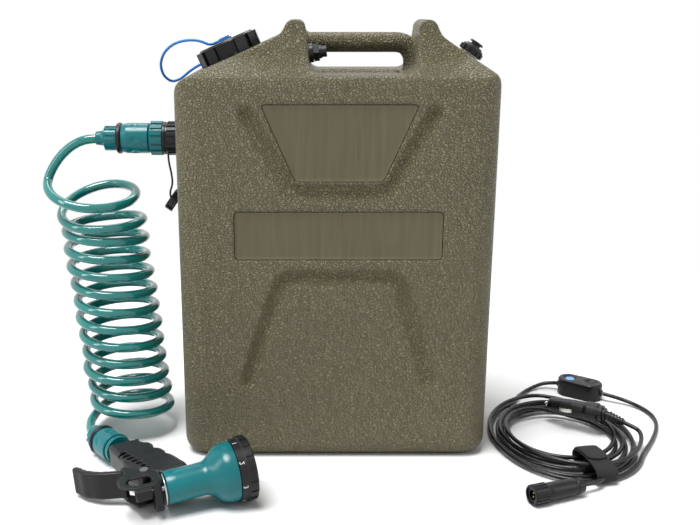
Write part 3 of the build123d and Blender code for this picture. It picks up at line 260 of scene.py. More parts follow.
def can_plastic():
    """Olive polyethylene: the mould's leather grain, with painted shade in its creases and painted light on its pebble
    tops, smooth sunk panels, flow streaks and a slow drift of shade.
    """
    material, tree, shader = new_material("can_plastic")
    coordinates = tree.nodes.new("ShaderNodeTexCoord")
    place = tree.nodes.new("ShaderNodeSeparateXYZ")
    tree.links.new(coordinates.outputs["Object"], place.inputs["Vector"])
    x, y, z = place.outputs
    panel = value_of(tree, "MAXIMUM", inside_trapezoid(tree, x, z, UPPER_PANEL),
                     inside_trapezoid(tree, x, z, MIDDLE_PANEL))
    away = value_of(tree, "ABSOLUTE", y)
    panel = value_of(tree, "MULTIPLY", panel, stepped(tree, away, 0.068, 0.070))
    grained = value_of(tree, "SUBTRACT", 1.0, panel)

    warp = add(tree, "ShaderNodeTexNoise", Scale=120.0, Detail=2.0)
    tree.links.new(coordinates.outputs["Object"], warp.inputs["Vector"])
    bent = tree.nodes.new("ShaderNodeVectorMath")
    bent.operation = "MULTIPLY_ADD"
    bent.inputs[1].default_value = (0.009, 0.009, 0.009)
    tree.links.new(warp.outputs["Color"], bent.inputs[0])
    tree.links.new(coordinates.outputs["Object"], bent.inputs[2])
    creases = add(tree, "ShaderNodeTexVoronoi", Scale=300.0)
    creases.feature = "DISTANCE_TO_EDGE"
    tree.links.new(bent.outputs["Vector"], creases.inputs["Vector"])
    pebble = value_of(tree, "POWER", value_of(tree, "MULTIPLY", creases.outputs["Distance"], 2.8, clamp=True), 0.6)
    fine = noise_node(tree, 620.0, 2.0)
    leather = value_of(tree, "MULTIPLY_ADD", fine, 0.55, pebble)
    leather = value_of(tree, "MULTIPLY", leather, grained)

    streaks = add(tree, "ShaderNodeTexNoise", Scale=1.0, Detail=3.0)
    stretch = tree.nodes.new("ShaderNodeMapping")
    stretch.inputs["Scale"].default_value = (260.0, 40.0, 14.0)
    tree.links.new(coordinates.outputs["Object"], stretch.inputs["Vector"])
    tree.links.new(stretch.outputs["Vector"], streaks.inputs["Vector"])

    base = srgb(112, 106, 80)
    tint = ramp(tree, noise_node(tree, 9.0), shaded(base, 0.94), shaded(base, 1.05))
    streaked = tree.nodes.new("ShaderNodeMix")
    streaked.data_type = "RGBA"
    streaked.blend_type = "MULTIPLY"
    tree.links.new(panel, streaked.inputs["Factor"])
    tree.links.new(tint, streaked.inputs["A"])
    tree.links.new(ramp(tree, streaks.outputs["Fac"], grey(0.62), grey(0.78)), streaked.inputs["B"])
    # Painted shade and light: the grain's colour follows its own height, darker down in the creases and lighter on the
    # pebble tops.
    painted_crease_shade = tree.nodes.new("ShaderNodeMix")
    painted_crease_shade.data_type = "RGBA"
    painted_crease_shade.blend_type = "MULTIPLY"
    tree.links.new(grained, painted_crease_shade.inputs["Factor"])
    tree.links.new(streaked.outputs["Result"], painted_crease_shade.inputs["A"])
    tree.links.new(ramp(tree, pebble, grey(0.6), grey(1.1), 0.08, 0.7), painted_crease_shade.inputs["B"])
    tree.links.new(painted_crease_shade.outputs["Result"], shader.inputs["Base Color"])

    shader.inputs["Specular IOR Level"].default_value = 0.35
    roughness = value_of(tree, "MULTIPLY_ADD", panel, -0.04, 0.4)
    tree.links.new(roughness, shader.inputs["Roughness"])
    sunk = add(tree, "ShaderNodeBump", Strength=1.0, Distance=PANEL_DEPTH)
    tree.links.new(grained, sunk.inputs["Height"])
    skin = add(tree, "ShaderNodeBump", Strength=1.0, Distance=LEATHER_DEPTH)
    tree.links.new(leather, skin.inputs["Height"])
    tree.links.new(sunk.outputs["Normal"], skin.inputs["Normal"])
    tree.links.new(skin.outputs["Normal"], shader.inputs["Normal"])
    return material


# %% Materials

def floor_material():
    material, tree, shader = new_material("floor_white")
    tint = ramp(tree, noise_node(tree, 2.0), grey(0.83), grey(0.85))
    tree.links.new(tint, shader.inputs["Base Color"])
    shader.inputs["Roughness"].default_value = 0.9
    coordinates = tree.nodes.new("ShaderNodeTexCoord")
    distance = tree.nodes.new("ShaderNodeVectorMath")
    distance.operation = "LENGTH"
    tree.links.new(coordinates.outputs["Object"], distance.inputs[0])
    away = stepped(tree, distance.outputs["Value"], 0.45, 1.1)
    rays = tree.nodes.new("ShaderNodeLightPath")
    shown = value_of(tree, "MAXIMUM", rays.outputs["Is Camera Ray"], rays.outputs["Is Glossy Ray"])
    white = add(tree, "ShaderNodeEmission", Color=(1, 1, 1, 1), Strength=1.0)
    backdrop_mix = tree.nodes.new("ShaderNodeMixShader")
    tree.links.new(value_of(tree, "MULTIPLY", away, shown), backdrop_mix.inputs["Fac"])
    tree.links.new(shader.outputs["BSDF"], backdrop_mix.inputs[1])
    tree.links.new(white.outputs["Emission"], backdrop_mix.inputs[2])
    tree.links.new(backdrop_mix.outputs["Shader"], tree.nodes["Material Output"].inputs["Surface"])
    return material


def metal(name, color, roughness):
    material, tree, shader = new_material(name)
    shader.inputs["Metallic"].default_value = 1.0
    tint = ramp(tree, noise_node(tree, 300.0), shaded(color, 0.85), shaded(color, 1.1))
    tree.links.new(tint, shader.inputs["Base Color"])
    rough = ramp(tree, noise_node(tree, 500.0), grey(roughness), grey(roughness + 0.15))
    tree.links.new(rough, shader.inputs["Roughness"])
    return material


MATERIALS = {
    "can": can_plastic(),
    "cap": moulded("cap_plastic", srgb(13, 14, 17), 0.28, grain=1500.0, grain_depth=0.00008, Specular_IOR_Level=0.3),
    "strap": moulded("strap_rubber", srgb(18, 118, 200), 0.4, grain=700.0),
    "seal": moulded("seal_rubber", srgb(28, 28, 28), 0.6),
    "clear": moulded("clear_plastic", srgb(205, 203, 190), 0.35),
    "black": moulded("black_plastic", srgb(24, 24, 26), 0.34, grain=1400.0, grain_depth=0.0001, Specular_IOR_Level=0.3),
    "teal": moulded("teal_plastic", srgb(0, 106, 112), 0.24, grain=1100.0, Specular_IOR_Level=0.4),
    "hose": moulded("hose_plastic", srgb(0, 118, 114), 0.12, grain=300.0, grain_depth=0.00003, edge=0.0,
                    Coat_Weight=0.5, Coat_Roughness=0.05),
    "steel": metal("stem_steel", srgb(190, 190, 192), 0.25),
    "nickel": metal("contact_metal", srgb(214, 212, 205), 0.16),
    "brass": metal("pin_brass", srgb(196, 158, 88), 0.28),
    "cable": moulded("cable_rubber", srgb(12, 12, 14), 0.26, grain=1200.0, grain_depth=0.00005, edge=0.0, Specular_IOR_Level=0.35),
    "tie": moulded("tie_fabric", srgb(17, 17, 18), 0.9, grain=2200.0, grain_depth=0.0004, edge=0.0),
    "button": moulded("button_plastic", srgb(119, 174, 249), 0.3),
}
SLOT_MATERIAL = {
    "can_plastic": "can", "cap_plastic": "cap", "strap_rubber": "strap", "seal_rubber": "seal", "clear_plastic": "clear",
    "black_plastic": "black", "teal_plastic": "teal", "hose_plastic": "hose", "stem_steel": "steel", "contact_metal": "nickel",
    "pin_brass": "brass", "cable_rubber": "cable", "tie_fabric": "tie", "button_plastic": "button",
}
floor.data.materials.append(floor_material())


def dress(item, material):
    item.data.materials.clear()
    item.data.materials.append(material)


for part in frame["record"]["subparts"]:
    dress(nodes[part["node"]], MATERIALS[SLOT_MATERIAL[part["material_slot"]]])
print("materials", len(MATERIALS))

# %% [markdown]
# ## The hose
#
# One teal hose: out of the outlet's hose nut, down in a bow, round the coil's turns, and out at the foot into the
# gun's hose nut. The coil's turns are worked out by a loop, and shrink and sway a little as they go down.

# %% Hose
HOSE_DIAMETER = 0.0107
HOSE_LEAD = [(-255.0, 0.0, 354.0), (-279.5, 0.0, 354.0), (-297.5, 0.0, 346.5), (-312.0, 0.0, 334.0),
             (-322.5, 0.0, 319.5)]
HOSE_TAIL = [(-291.5, -17.0, 17.6), (-291.5, -24.0, 16.2), (-288.3, -43.6, 13.1), (-273.4, -62.9, 15.0)]
COIL_TURNS = 13
COIL_STEPS = 18
COIL_TOP = 306.0
COIL_FIRST_DROP = 36.0
COIL_FOOT = 20.0
COIL_TILT = 14.0
COIL_RADIUS = 45.4


def coil_points():
    """The turns, from the left side at the top to the left side at the foot, seen from above against the clock."""
    shake = random.Random(4)
    sway = [(shake.uniform(-1.3, 1.3), shake.uniform(-1.3, 1.3), shake.uniform(-1.0, 1.0)) for _ in range(COIL_TURNS + 2)]
    points = []
    for step in range(COIL_TURNS * COIL_STEPS + 1):
        turn = step / COIL_STEPS
        angle = math.pi + 2 * math.pi * turn
        first = min(turn, 1.0)
        later = max(turn - 1.0, 0.0) / (COIL_TURNS - 1)
        height = COIL_TOP - COIL_FIRST_DROP * first - (COIL_TOP - COIL_FIRST_DROP - COIL_FOOT) * later
        centre = -280.0 + 11.5 * first + 24.5 * later
        radius = COIL_RADIUS + 2.6 * (1 - first)
        whole = int(turn)
        part = turn - whole
        before, after = sway[whole], sway[whole + 1]
        dx, dy, dr = (before[i] * (1 - part) + after[i] * part for i in range(3))
        height += COIL_TILT * max(0.0, 1 - max(0.0, turn - 0.75)) * math.sin(angle)
        points.append((centre + dx + (radius + dr) * math.cos(angle), dy + (radius + dr) * math.sin(angle), height))
    return points


def cord_curve(name, points, diameter, material):
    """A round cord on one smooth spline whose control points are given in millimetres."""
    curve = bpy.data.curves.new(name, "CURVE")
    curve.dimensions = "3D"
    curve.bevel_depth = diameter / 2
    curve.bevel_resolution = 5
    curve.use_fill_caps = True
    curve.resolution_u = 4
    spline = curve.splines.new("NURBS")
    spline.points.add(len(points) - 1)
    for point, (x, y, z) in zip(spline.points, points):
        point.co = (x * MM, y * MM, z * MM, 1)
    spline.order_u = 3
    spline.use_endpoint_u = True
    cord = bpy.data.objects.new(name, curve)
    scene.collection.objects.link(cord)
    cord.data.materials.append(material)
    return cord


hose = cord_curve("hose", HOSE_LEAD + coil_points() + HOSE_TAIL, HOSE_DIAMETER, MATERIALS["hose"])
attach(hose, "base")
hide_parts("hose_lead_in", "hose_coil", "hose_tail")


def route_length(points):
    return sum((Vector(b) - Vector(a)).length for a, b in zip(points, points[1:])) * MM


hose_length = route_length(HOSE_LEAD + coil_points() + HOSE_TAIL)
print("hose length", round(hose_length, 3))

# %% [markdown]
# ## The power lead
#
# Two stretches of one cable meet in the switch. The first leaves the switch's left gland, runs against the clock
# round the bottom of the coil, and comes out over its top to the plug. The second leaves the right gland, runs with
# the clock, and ends in the round connector. Their turns are worked out by a loop, on ellipses between the coil's
# inner and outer rim.

# %% Lead
CABLE_DIAMETER = 0.005
LEAD_CENTRE = (273.0, -38.0)
LEAD_LOW, LEAD_MIDDLE, LEAD_HIGH = 4.8, 10.3, 16.0
LEFT_RUN = [(303.5, 113.0, 10.0), (292.0, 119.0, 8.0), (279.0, 117.0, 5.0), (265.0, 107.0, 3.4), (252.5, 93.0, 3.2),
            (243.5, 79.0, 4.2)]
PLUG_RUN = [(358.0, -54.0, 18.5), (350.5, -46.4, 21.2), (342.4, -40.9, 23.3)]
RIGHT_RUN = [(354.7, 75.9, 10.0), (368.0, 69.0, 8.5), (382.0, 62.0, 5.5), (394.5, 48.0, 3.6), (400.5, 29.0, 3.2),
             (399.5, 8.0, 3.2), (393.0, -13.0, 3.4), (382.5, -34.0, 3.2), (370.5, -55.0, 3.6)]
CONNECTOR_RUN = [(286.5, -150.0, 10.0), (279.0, -158.5, 10.0), (268.3, -164.1, 11.1), (258.0, -167.9, 11.1)]


def lead_point(angle, across, height):
    """A point of the coil: its ellipse's angle in degrees, and 0 at the inner rim to 1 at the outer one."""
    turn = math.radians(angle)
    x = LEAD_CENTRE[0] - 4 * (1 - across) + (56.5 + 31.0 * across) * math.cos(turn)
    y = LEAD_CENTRE[1] - 2 * (1 - across) + (58.5 + 52.0 * across) * math.sin(turn)
    return (x, y, height)


def wound(stops, step=15.0):
    """The coil's points between stops, each an angle, a place across the coil and a height."""
    points = []
    for (a0, s0, z0), (a1, s1, z1) in zip(stops, stops[1:]):
        count = max(1, round(abs(a1 - a0) / step))
        for index in range(count):
            share = index / count
            points.append(lead_point(a0 + (a1 - a0) * share, s0 + (s1 - s0) * share, z0 + (z1 - z0) * share))
    points.append(lead_point(*stops[-1]))
    return points


FIRST_STOPS = [(118, 0.93, LEAD_LOW), (478, 0.66, LEAD_LOW), (838, 0.36, LEAD_LOW), (1140, 0.1, LEAD_LOW),
               (1200, 0.1, LEAD_HIGH), (1400, 0.85, LEAD_HIGH), (1419, 0.92, LEAD_HIGH)]
SECOND_STOPS = [(-24, 0.98, LEAD_LOW), (-110, 1.0, LEAD_LOW), (-200, 0.97, LEAD_MIDDLE), (-262, 0.75, LEAD_HIGH),
                (-330, 0.15, LEAD_HIGH), (-395, 0.08, LEAD_MIDDLE), (-755, 0.38, LEAD_MIDDLE), (-1115, 0.7, LEAD_MIDDLE),
                (-1152, 0.84, LEAD_MIDDLE)]
first_route = LEFT_RUN + wound(FIRST_STOPS) + PLUG_RUN
second_route = RIGHT_RUN + wound(SECOND_STOPS) + CONNECTOR_RUN
plug_cord = cord_curve("lead_to_plug", first_route, CABLE_DIAMETER, MATERIALS["cable"])
connector_cord = cord_curve("lead_to_connector", second_route, CABLE_DIAMETER, MATERIALS["cable"])
for cord in (plug_cord, connector_cord):
    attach(cord, "base")
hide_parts("lead_run_left", "lead_run_plug", "lead_coil")
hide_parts("lead_run_right", "lead_run_connector")
print("lead lengths", round(route_length(first_route), 3), round(route_length(second_route), 3))

# %% [markdown]
# ## The can
#
# The real can is blow moulded: a tube of hot plastic is blown against a cold mould, so every edge comes out round
# and the wall follows the mould's leather grain. The CAD shell is hollow and has crisp edges. Its openings are
# plugged, so that a voxel remesh keeps the outside alone as one closed skin, and a little smoothing rounds the edges.
# A Bevel modifier would do the same only on clean edges, and these cross each other. Last, the two smooth panels
# are pushed in by moving the skin's own vertices.

# %% Plugs for the openings
PLUGS = [  # place and way of each opening in mm, its plug's radius, and how far the plug reaches in and out
    ((-115.0, 0.0, 445.0), (-0.3987, 0.0, 0.9171), 27.0, -9.0, 11.0),
    ((145.0, 0.0, 444.11), (0.5707, 0.0, 0.8211), 7.0, -8.0, 6.0),
    ((-172.5, 0.0, 354.0), (-1.0, 0.0, 0.0), 19.0, -6.0, 0.0),
    ((-30.46, -30.0, 449.0), (0.9925, 0.0, 0.1219), 8.0, -6.0, 0.0),
]


def add_plug(work, place, way, radius, low, high):
    """A closed cylinder that stops an opening."""
    way = Vector(way).normalized()
    turn = way.to_track_quat("Z", "Y").to_matrix().to_4x4()
    middle = Matrix.Translation((Vector(place) + way * (low + high) / 2) * MM)
    bmesh.ops.create_cone(work, cap_ends=True, segments=32, radius1=radius * MM, radius2=radius * MM,
                          depth=(high - low) * MM, matrix=middle @ turn)


# %% Skin helpers
def object_from(name, work, material):
    """A new object from a finished bmesh, with its faces turned outwards."""
    bmesh.ops.recalc_face_normals(work, faces=work.faces)
    mesh = bpy.data.meshes.new(name)
    work.to_mesh(mesh)
    work.free()
    item = bpy.data.objects.new(name, mesh)
    scene.collection.objects.link(item)
    dress(item, material)
    return item


def baked(item):
    """Turns the item's mesh with its modifiers into a plain mesh."""
    graph = bpy.context.evaluated_depsgraph_get()
    mesh = bpy.data.meshes.new_from_object(item.evaluated_get(graph))
    item.modifiers.clear()
    item.data = mesh


def softened(item, voxel, rounds):
    """One closed skin round all of the item's shells, smoothed a few times. Voxel is in mm."""
    remesh = item.modifiers.new("remesh", "REMESH")
    remesh.mode = "VOXEL"
    remesh.voxel_size = voxel * MM
    if rounds:
        smooth = item.modifiers.new("smooth", "SMOOTH")
        smooth.factor = 0.5
        smooth.iterations = rounds
    baked(item)
    item.data.shade_smooth()


# %% Can skin
SKIN_VOXEL = 2.6
shell = bmesh.new()
shell.from_mesh(nodes["can_body"].data)
bmesh.ops.remove_doubles(shell, verts=shell.verts, dist=0.00002)
for plug in PLUGS:
    add_plug(shell, *plug)
shell.normal_update()
skin_mesh = bpy.data.meshes.new("can_skin")
shell.to_mesh(skin_mesh)
shell.free()
can_skin = bpy.data.objects.new("can_skin", skin_mesh)
scene.collection.objects.link(can_skin)
softened(can_skin, SKIN_VOXEL, 2)
dress(can_skin, MATERIALS["can"])
print("can skin faces", len(can_skin.data.polygons))


# %% Sunk panels
PANEL_SINK = 0.0009


def inside_share(x, z, corners, edge=0.0015):
    """1 inside an upright trapezoid, 0 outside, smooth between."""
    (z_low, left_low, right_low), (z_high, left_high, right_high) = corners
    share = (z - z_low) / (z_high - z_low)
    left = left_low + (left_high - left_low) * share
    right = right_low + (right_high - right_low) * share
    nearest = min(x - left, right - x, z - z_low, z_high - z)
    value = max(0.0, min(1.0, nearest / edge + 0.5))
    return value * value * (3 - 2 * value)


for vertex in can_skin.data.vertices:
    x, y, z = vertex.co
    if abs(y) > 0.074:
        sink = max(inside_share(x, z, UPPER_PANEL), inside_share(x, z, MIDDLE_PANEL))
        vertex.co.y = y - math.copysign(PANEL_SINK * sink, y)
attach(can_skin, "base")
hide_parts("can_body")

# %% [markdown]
# ## The spray gun
#
# The gun's handle, lever and barrel are injection moulded: flat outlines with round corners and softened edges.
# Each is drawn as an outline in the gun's own plane and given a thickness. Holes are cut with Boolean modifiers,
# and a fine voxel remesh with a little smoothing gives the moulded roundness that separate bevels would not.

# %% Gun frame and outlines
gun_x = Vector((0.925, 0.3715, 0.075)).normalized()
gun_z = gun_x.cross(Vector((-0.3726, 0.928, -0.06))).normalized()
gun_y = gun_z.cross(gun_x)
GUN = Matrix.Translation(Vector((-182.7, -208.5, 27.4)) * MM) @ Matrix((gun_x, gun_y, gun_z)).transposed().to_4x4()


def rounded(corners, step=1.0):
    """The points of an outline whose corners, each x, y and radius, are rounded."""
    points = []
    count = len(corners)
    for index, (x, y, radius) in enumerate(corners):
        here = Vector((x, y))
        back = Vector(corners[index - 1][:2]) - here
        ahead = Vector(corners[(index + 1) % count][:2]) - here
        half = back.angle(ahead) / 2
        cut = min(radius / math.tan(half), back.length * 0.49, ahead.length * 0.49)
        radius = cut * math.tan(half)
        back.normalize()
        ahead.normalize()
        centre = here + (back + ahead).normalized() * (radius / math.sin(half))
        first = here + back * cut - centre
        last = here + ahead * cut - centre
        start = math.atan2(first.y, first.x)
        sweep = (math.atan2(last.y, last.x) - start + math.pi) % (2 * math.pi) - math.pi
        steps = max(1, round(abs(sweep) * radius / step))
        for part in range(steps + 1):
            angle = start + sweep * part / steps
            points.append(centre + Vector((math.cos(angle), math.sin(angle))) * radius)
    area = sum(a.x * b.y - b.x * a.y for a, b in zip(points, points[1:] + points[:1]))
    return points if area > 0 else points[::-1]


def moved_in(points, inset):
    """The outline moved inwards."""
    moved = []
    for index, point in enumerate(points):
        way = (points[(index + 1) % len(points)] - points[index - 1]).normalized()
        moved.append(point + Vector((-way.y, way.x)) * inset)
    return moved


def add_plate(work, points, low, high, edge=0.0, place=GUN):
    """A closed plate from an outline in mm, between two heights, with its long edges rounded."""
    layers = [(0.0, low + edge), (0.0, high - edge)]
    if edge:
        turns = [math.radians(18 * k) for k in range(1, 6)]
        layers = ([(edge * (1 - math.cos(a)), low + edge - edge * math.sin(a)) for a in reversed(turns)] + layers
                  + [(edge * (1 - math.cos(a)), high - edge + edge * math.sin(a)) for a in turns])
    rings = []
    for inset, height in layers:
        outline = moved_in(points, inset) if inset else points
        rings.append([work.verts.new(place @ (Vector((p.x, p.y, height)) * MM)) for p in outline])
    for below, above in zip(rings, rings[1:]):
        for index in range(len(points)):
            after = (index + 1) % len(points)
            work.faces.new((below[index], below[after], above[after], above[index]))
    work.faces.new(rings[0][::-1])
    work.faces.new(rings[-1])


def add_rod(work, start, end, radius, place=GUN, segments=48):
    """A closed cylinder between two points in mm."""
    start, end = Vector(start) * MM, Vector(end) * MM
    turn = (end - start).to_track_quat("Z", "Y").to_matrix().to_4x4()
    bmesh.ops.create_cone(work, cap_ends=True, segments=segments, radius1=radius * MM, radius2=radius * MM,
                          depth=(end - start).length, matrix=place @ Matrix.Translation((start + end) / 2) @ turn)


def cut_away(item, tool):
    """Takes the tool's volume out of the item."""
    modifier = item.modifiers.new("cut", "BOOLEAN")
    modifier.operation = "DIFFERENCE"
    modifier.solver = "EXACT"
    modifier.object = tool
    baked(item)
    bpy.data.objects.remove(tool)


print("gun frame at", [round(v, 3) for v in GUN.translation])

# %% [markdown]
# ### The handle
#
# The handle is a hollow moulding with four finger scallops behind and a row of seven oval windows that grow
# towards the hose. The outline is thickened with round edges, then scallops, windows and the barrel's seat are cut.

# %% Handle
GRIP_HALF = 13.4
GRIP_EDGE = 5.0
GRIP_OUTLINE = [(8, 12, 1), (38, 12, 4), (37, 24, 4), (31, 46, 12), (20, 80, 12), (8, 113, 3), (-2.5, 121.9, 2),
                (-29.5, 114.1, 2), (-29, 104, 10), (-21.5, 62, 12), (-11.5, 36, 10), (0, 20, 4)]
LEVER_PIVOT = Vector((-8.0, 15.0))
WINDOWS = 7

work = bmesh.new()
add_plate(work, rounded(GRIP_OUTLINE), -GRIP_HALF, GRIP_HALF, GRIP_EDGE)
add_rod(work, (*LEVER_PIVOT, -GRIP_HALF), (*LEVER_PIVOT, GRIP_HALF), 5.5)
add_plate(work, rounded([(-13.5, 17, 1), (-4, 20.5, 1), (4, 17, 1), (10, 30, 1), (-9, 36, 1)]), -GRIP_HALF, GRIP_HALF)
gun_handle = object_from("gun_handle", work, MATERIALS["black"])
softened(gun_handle, 0.9, 0)

tool = bmesh.new()
for index in range(4):
    x, y = 42.5 - 9.2 * index, 36 + 22.5 * index
    add_rod(tool, (x, y, -30), (x, y, 30), 10.5)
cut_away(gun_handle, object_from("cutter", tool, MATERIALS["black"]))

tool = bmesh.new()
for index in range(WINDOWS):
    share = index / (WINDOWS - 1)
    x, y = -18.5 + 17.5 * share, 78 - 48 * share
    size = 1 - 0.35 * share
    tilt = math.radians(-65)
    oval = []
    for step in range(28):
        turn = 2 * math.pi * step / 28
        across, along = 2.9 * size * math.cos(turn), 5.4 * size * math.sin(turn)
        oval.append(Vector((x + across * math.cos(tilt) - along * math.sin(tilt),
                            y + across * math.sin(tilt) + along * math.cos(tilt))))
    add_plate(tool, oval, 5.0, 20.0)
    add_plate(tool, oval, -20.0, -5.0)
cut_away(gun_handle, object_from("cutter", tool, MATERIALS["black"]))

tool = bmesh.new()
add_rod(tool, (7.9, 0, 0), (70, 0, 0), 17.15)
add_plate(tool, [Vector((-60, 108)), Vector((60, 108)), Vector((60, 150)), Vector((-60, 150))], -30, 30)
cut_away(gun_handle, object_from("cutter", tool, MATERIALS["black"]))
softened(gun_handle, 0.8, 2)
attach(gun_handle, "base")
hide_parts("gun_grip")
print("handle faces", len(gun_handle.data.polygons))

# %% [markdown]
# ### The barrel
#
# The barrel is a round moulding, so a profile turned about its axis makes it. The profile runs up the outside, over
# the bell that swells to the nozzle, and back through the bore, so the piece has a wall.

# %% Barrel
BELL = [(46, 17.0), (49, 17.3), (52, 18.4), (55, 20.6), (58, 23.3), (61, 25.9), (64, 28.0), (67, 29.6), (70, 30.5),
        (73, 31.0), (76, 31.1), (79.7, 31.0)]
BARREL_PROFILE = ([(8, 15.8), (8.2, 16.6), (8.9, 17.0), (20, 17.0), (33, 17.0)] + BELL
                  + [(79.7, 28.5), (72, 27.5), (62, 22.0), (54, 15.0), (46, 14.0), (11, 14.0), (11, 3.4), (8, 3.4)])


def turned(name, profile, material, segments=96):
    """A piece turned about the barrel's axis from a closed profile of places along it and radii, in mm."""
    work = bmesh.new()
    rings = []
    for step in range(segments):
        turn = 2 * math.pi * step / segments
        rings.append([work.verts.new(GUN @ (Vector((along, radius * math.cos(turn), radius * math.sin(turn))) * MM))
                      for along, radius in profile])
    for ring, after in zip(rings, rings[1:] + rings[:1]):
        for index in range(len(profile)):
            other = (index + 1) % len(profile)
            work.faces.new((ring[index], ring[other], after[other], after[index]))
    item = object_from(name, work, material)
    item.data.shade_smooth()
    item.data.set_sharp_from_angle(angle=math.radians(35))
    return item


gun_bell = turned("gun_bell", BARREL_PROFILE, MATERIALS["teal"])
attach(gun_bell, "base")
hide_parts("gun_barrel")
print("barrel faces", len(gun_bell.data.polygons))

# %% [markdown]
# ### The lever
#
# Two cheeks hold the pin and reach round the barrel's back to the fork that pulls the knob; the upper one has an eye
# that the knob shows through. The palm pushes the broad paddle. Cheeks, fork and paddle are plates of one outline each, joined by the remesh.

# %% Lever
CHEEK = [(4, 3, 4), (4.5, -14.5, 6), (-4, -21, 8), (-27, -20, 9), (-38, -6, 9), (-38.5, 6, 8), (-27, 19, 6), (-30, 33, 2),
         (-24.5, 36.5, 2), (-13, 24.5, 8), (0, 21, 6)]
CHEEK_EYE = [(-5, -14, 4), (-24, -14.5, 6), (-31, -3, 4), (-26, 4.5, 4), (-5, 4, 4)]
LOWER_CHEEK = [(4, 3, 4), (4, -13, 4), (-6, -14, 4), (-9, -3, 4), (-21, 5, 8), (-27, 19, 6), (-30, 33, 2), (-24.5, 36.5, 2),
               (-13, 24.5, 8), (0, 21, 6)]
PADDLE = [(-22.5, 31, 1), (-31, 36, 20), (-49, 44.5, 22), (-61, 56, 18), (-68, 72, 2), (-74.5, 69.5, 2), (-66.5, 52, 20),
          (-52.5, 38.5, 24), (-33.5, 30.5, 10), (-27, 26.5, 1)]
CHEEK_INNER, CHEEK_OUTER = 14.2, 17.2

work = bmesh.new()
add_plate(work, rounded(CHEEK), CHEEK_INNER, CHEEK_OUTER)
add_plate(work, rounded(LOWER_CHEEK), -CHEEK_OUTER, -CHEEK_INNER)
add_plate(work, [Vector(c) for c in ((-4.8, -12), (3.2, -12), (3.2, 3), (-4.8, 3))], -15.2, 15.2)
add_plate(work, rounded(PADDLE), -14.7, 14.7, 2.2)
lever = object_from("lever", work, MATERIALS["black"])
softened(lever, 0.75, 0)
tool = bmesh.new()
add_plate(tool, rounded(CHEEK_EYE), -30, 30)
add_plate(tool, [Vector(c) for c in ((-7, -3.5), (5, -3.5), (5, 6.5), (-7, 6.5))], -3.2, 3.2)
add_rod(tool, (*LEVER_PIVOT, -30), (*LEVER_PIVOT, 30), 2.65)
cut_away(lever, object_from("cutter", tool, MATERIALS["black"]))
softened(lever, 0.7, 3)
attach(lever, "trigger_lever")
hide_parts("trigger_lever")
print("lever faces", len(lever.data.polygons))

# %% [markdown]
# ### Ridges on the paddle
#
# The paddle's tip has fine ridges for grip. They all follow the same curve, one above the other, which is a job for
# Geometry Nodes: the curve is stood on the points of a line, once for each ridge, and given a round profile.

# %% Ridge tree
def input_value(modifier, tree, name, value):
    """Sets a modifier's input by the socket's identifier."""
    for item in tree.interface.items_tree:
        if item.item_type == "SOCKET" and item.in_out == "INPUT" and item.name == name:
            modifier[item.identifier] = value


def ridge_tree(material):
    """Copies of the input curve along a line, each a thin round bar."""
    tree = bpy.data.node_groups.new("ridges", "GeometryNodeTree")
    tree.interface.new_socket("Geometry", in_out="INPUT", socket_type="NodeSocketGeometry")
    for name, kind in (("Count", "NodeSocketInt"), ("Step", "NodeSocketVector"), ("First", "NodeSocketVector"),
                       ("Radius", "NodeSocketFloat")):
        tree.interface.new_socket(name, in_out="INPUT", socket_type=kind)
    tree.interface.new_socket("Geometry", in_out="OUTPUT", socket_type="NodeSocketGeometry")
    source = tree.nodes.new("NodeGroupInput")
    sink = tree.nodes.new("NodeGroupOutput")
    line = tree.nodes.new("GeometryNodeMeshLine")
    copies = tree.nodes.new("GeometryNodeInstanceOnPoints")
    real = tree.nodes.new("GeometryNodeRealizeInstances")
    circle = tree.nodes.new("GeometryNodeCurvePrimitiveCircle")
    circle.inputs["Resolution"].default_value = 8
    bar = tree.nodes.new("GeometryNodeCurveToMesh")
    bar.inputs["Fill Caps"].default_value = True
    paint = tree.nodes.new("GeometryNodeSetMaterial")
    paint.inputs["Material"].default_value = material
    links = tree.links
    links.new(source.outputs["Count"], line.inputs["Count"])
    links.new(source.outputs["First"], line.inputs["Start Location"])
    links.new(source.outputs["Step"], line.inputs["Offset"])
    links.new(line.outputs["Mesh"], copies.inputs["Points"])
    links.new(source.outputs["Geometry"], copies.inputs["Instance"])
    links.new(copies.outputs["Instances"], real.inputs["Geometry"])
    links.new(real.outputs["Geometry"], bar.inputs["Curve"])
    links.new(source.outputs["Radius"], circle.inputs["Radius"])
    links.new(circle.outputs["Curve"], bar.inputs["Profile Curve"])
    links.new(bar.outputs["Mesh"], paint.inputs["Geometry"])
    links.new(paint.outputs["Geometry"], sink.inputs["Geometry"])
    return tree


# %% Paddle ridges
RIDGES = 9
RIDGE_SPAN = 22.0
RIDGE_LINE = [(-56.5, 42.6), (-62.2, 48.6), (-66.4, 53.9), (-70.2, 60.2), (-73.4, 67.0)]
ridge_curve = bpy.data.curves.new("ridge_line", "CURVE")
ridge_curve.dimensions = "3D"
ridge_spline = ridge_curve.splines.new("NURBS")
ridge_spline.points.add(len(RIDGE_LINE) - 1)
for point, (x, y) in zip(ridge_spline.points, RIDGE_LINE):
    point.co = (*(GUN @ (Vector((x, y, 0)) * MM)), 1)
ridge_spline.order_u = 3
ridge_spline.use_endpoint_u = True
ridges = bpy.data.objects.new("paddle_ridges", ridge_curve)
scene.collection.objects.link(ridges)
tree = ridge_tree(MATERIALS["black"])
nodes_modifier = ridges.modifiers.new("ridges", "NODES")
nodes_modifier.node_group = tree
input_value(nodes_modifier, tree, "Count", RIDGES)
input_value(nodes_modifier, tree, "Step", tuple(gun_z * RIDGE_SPAN / (RIDGES - 1) * MM))
input_value(nodes_modifier, tree, "First", tuple(-gun_z * RIDGE_SPAN / 2 * MM))
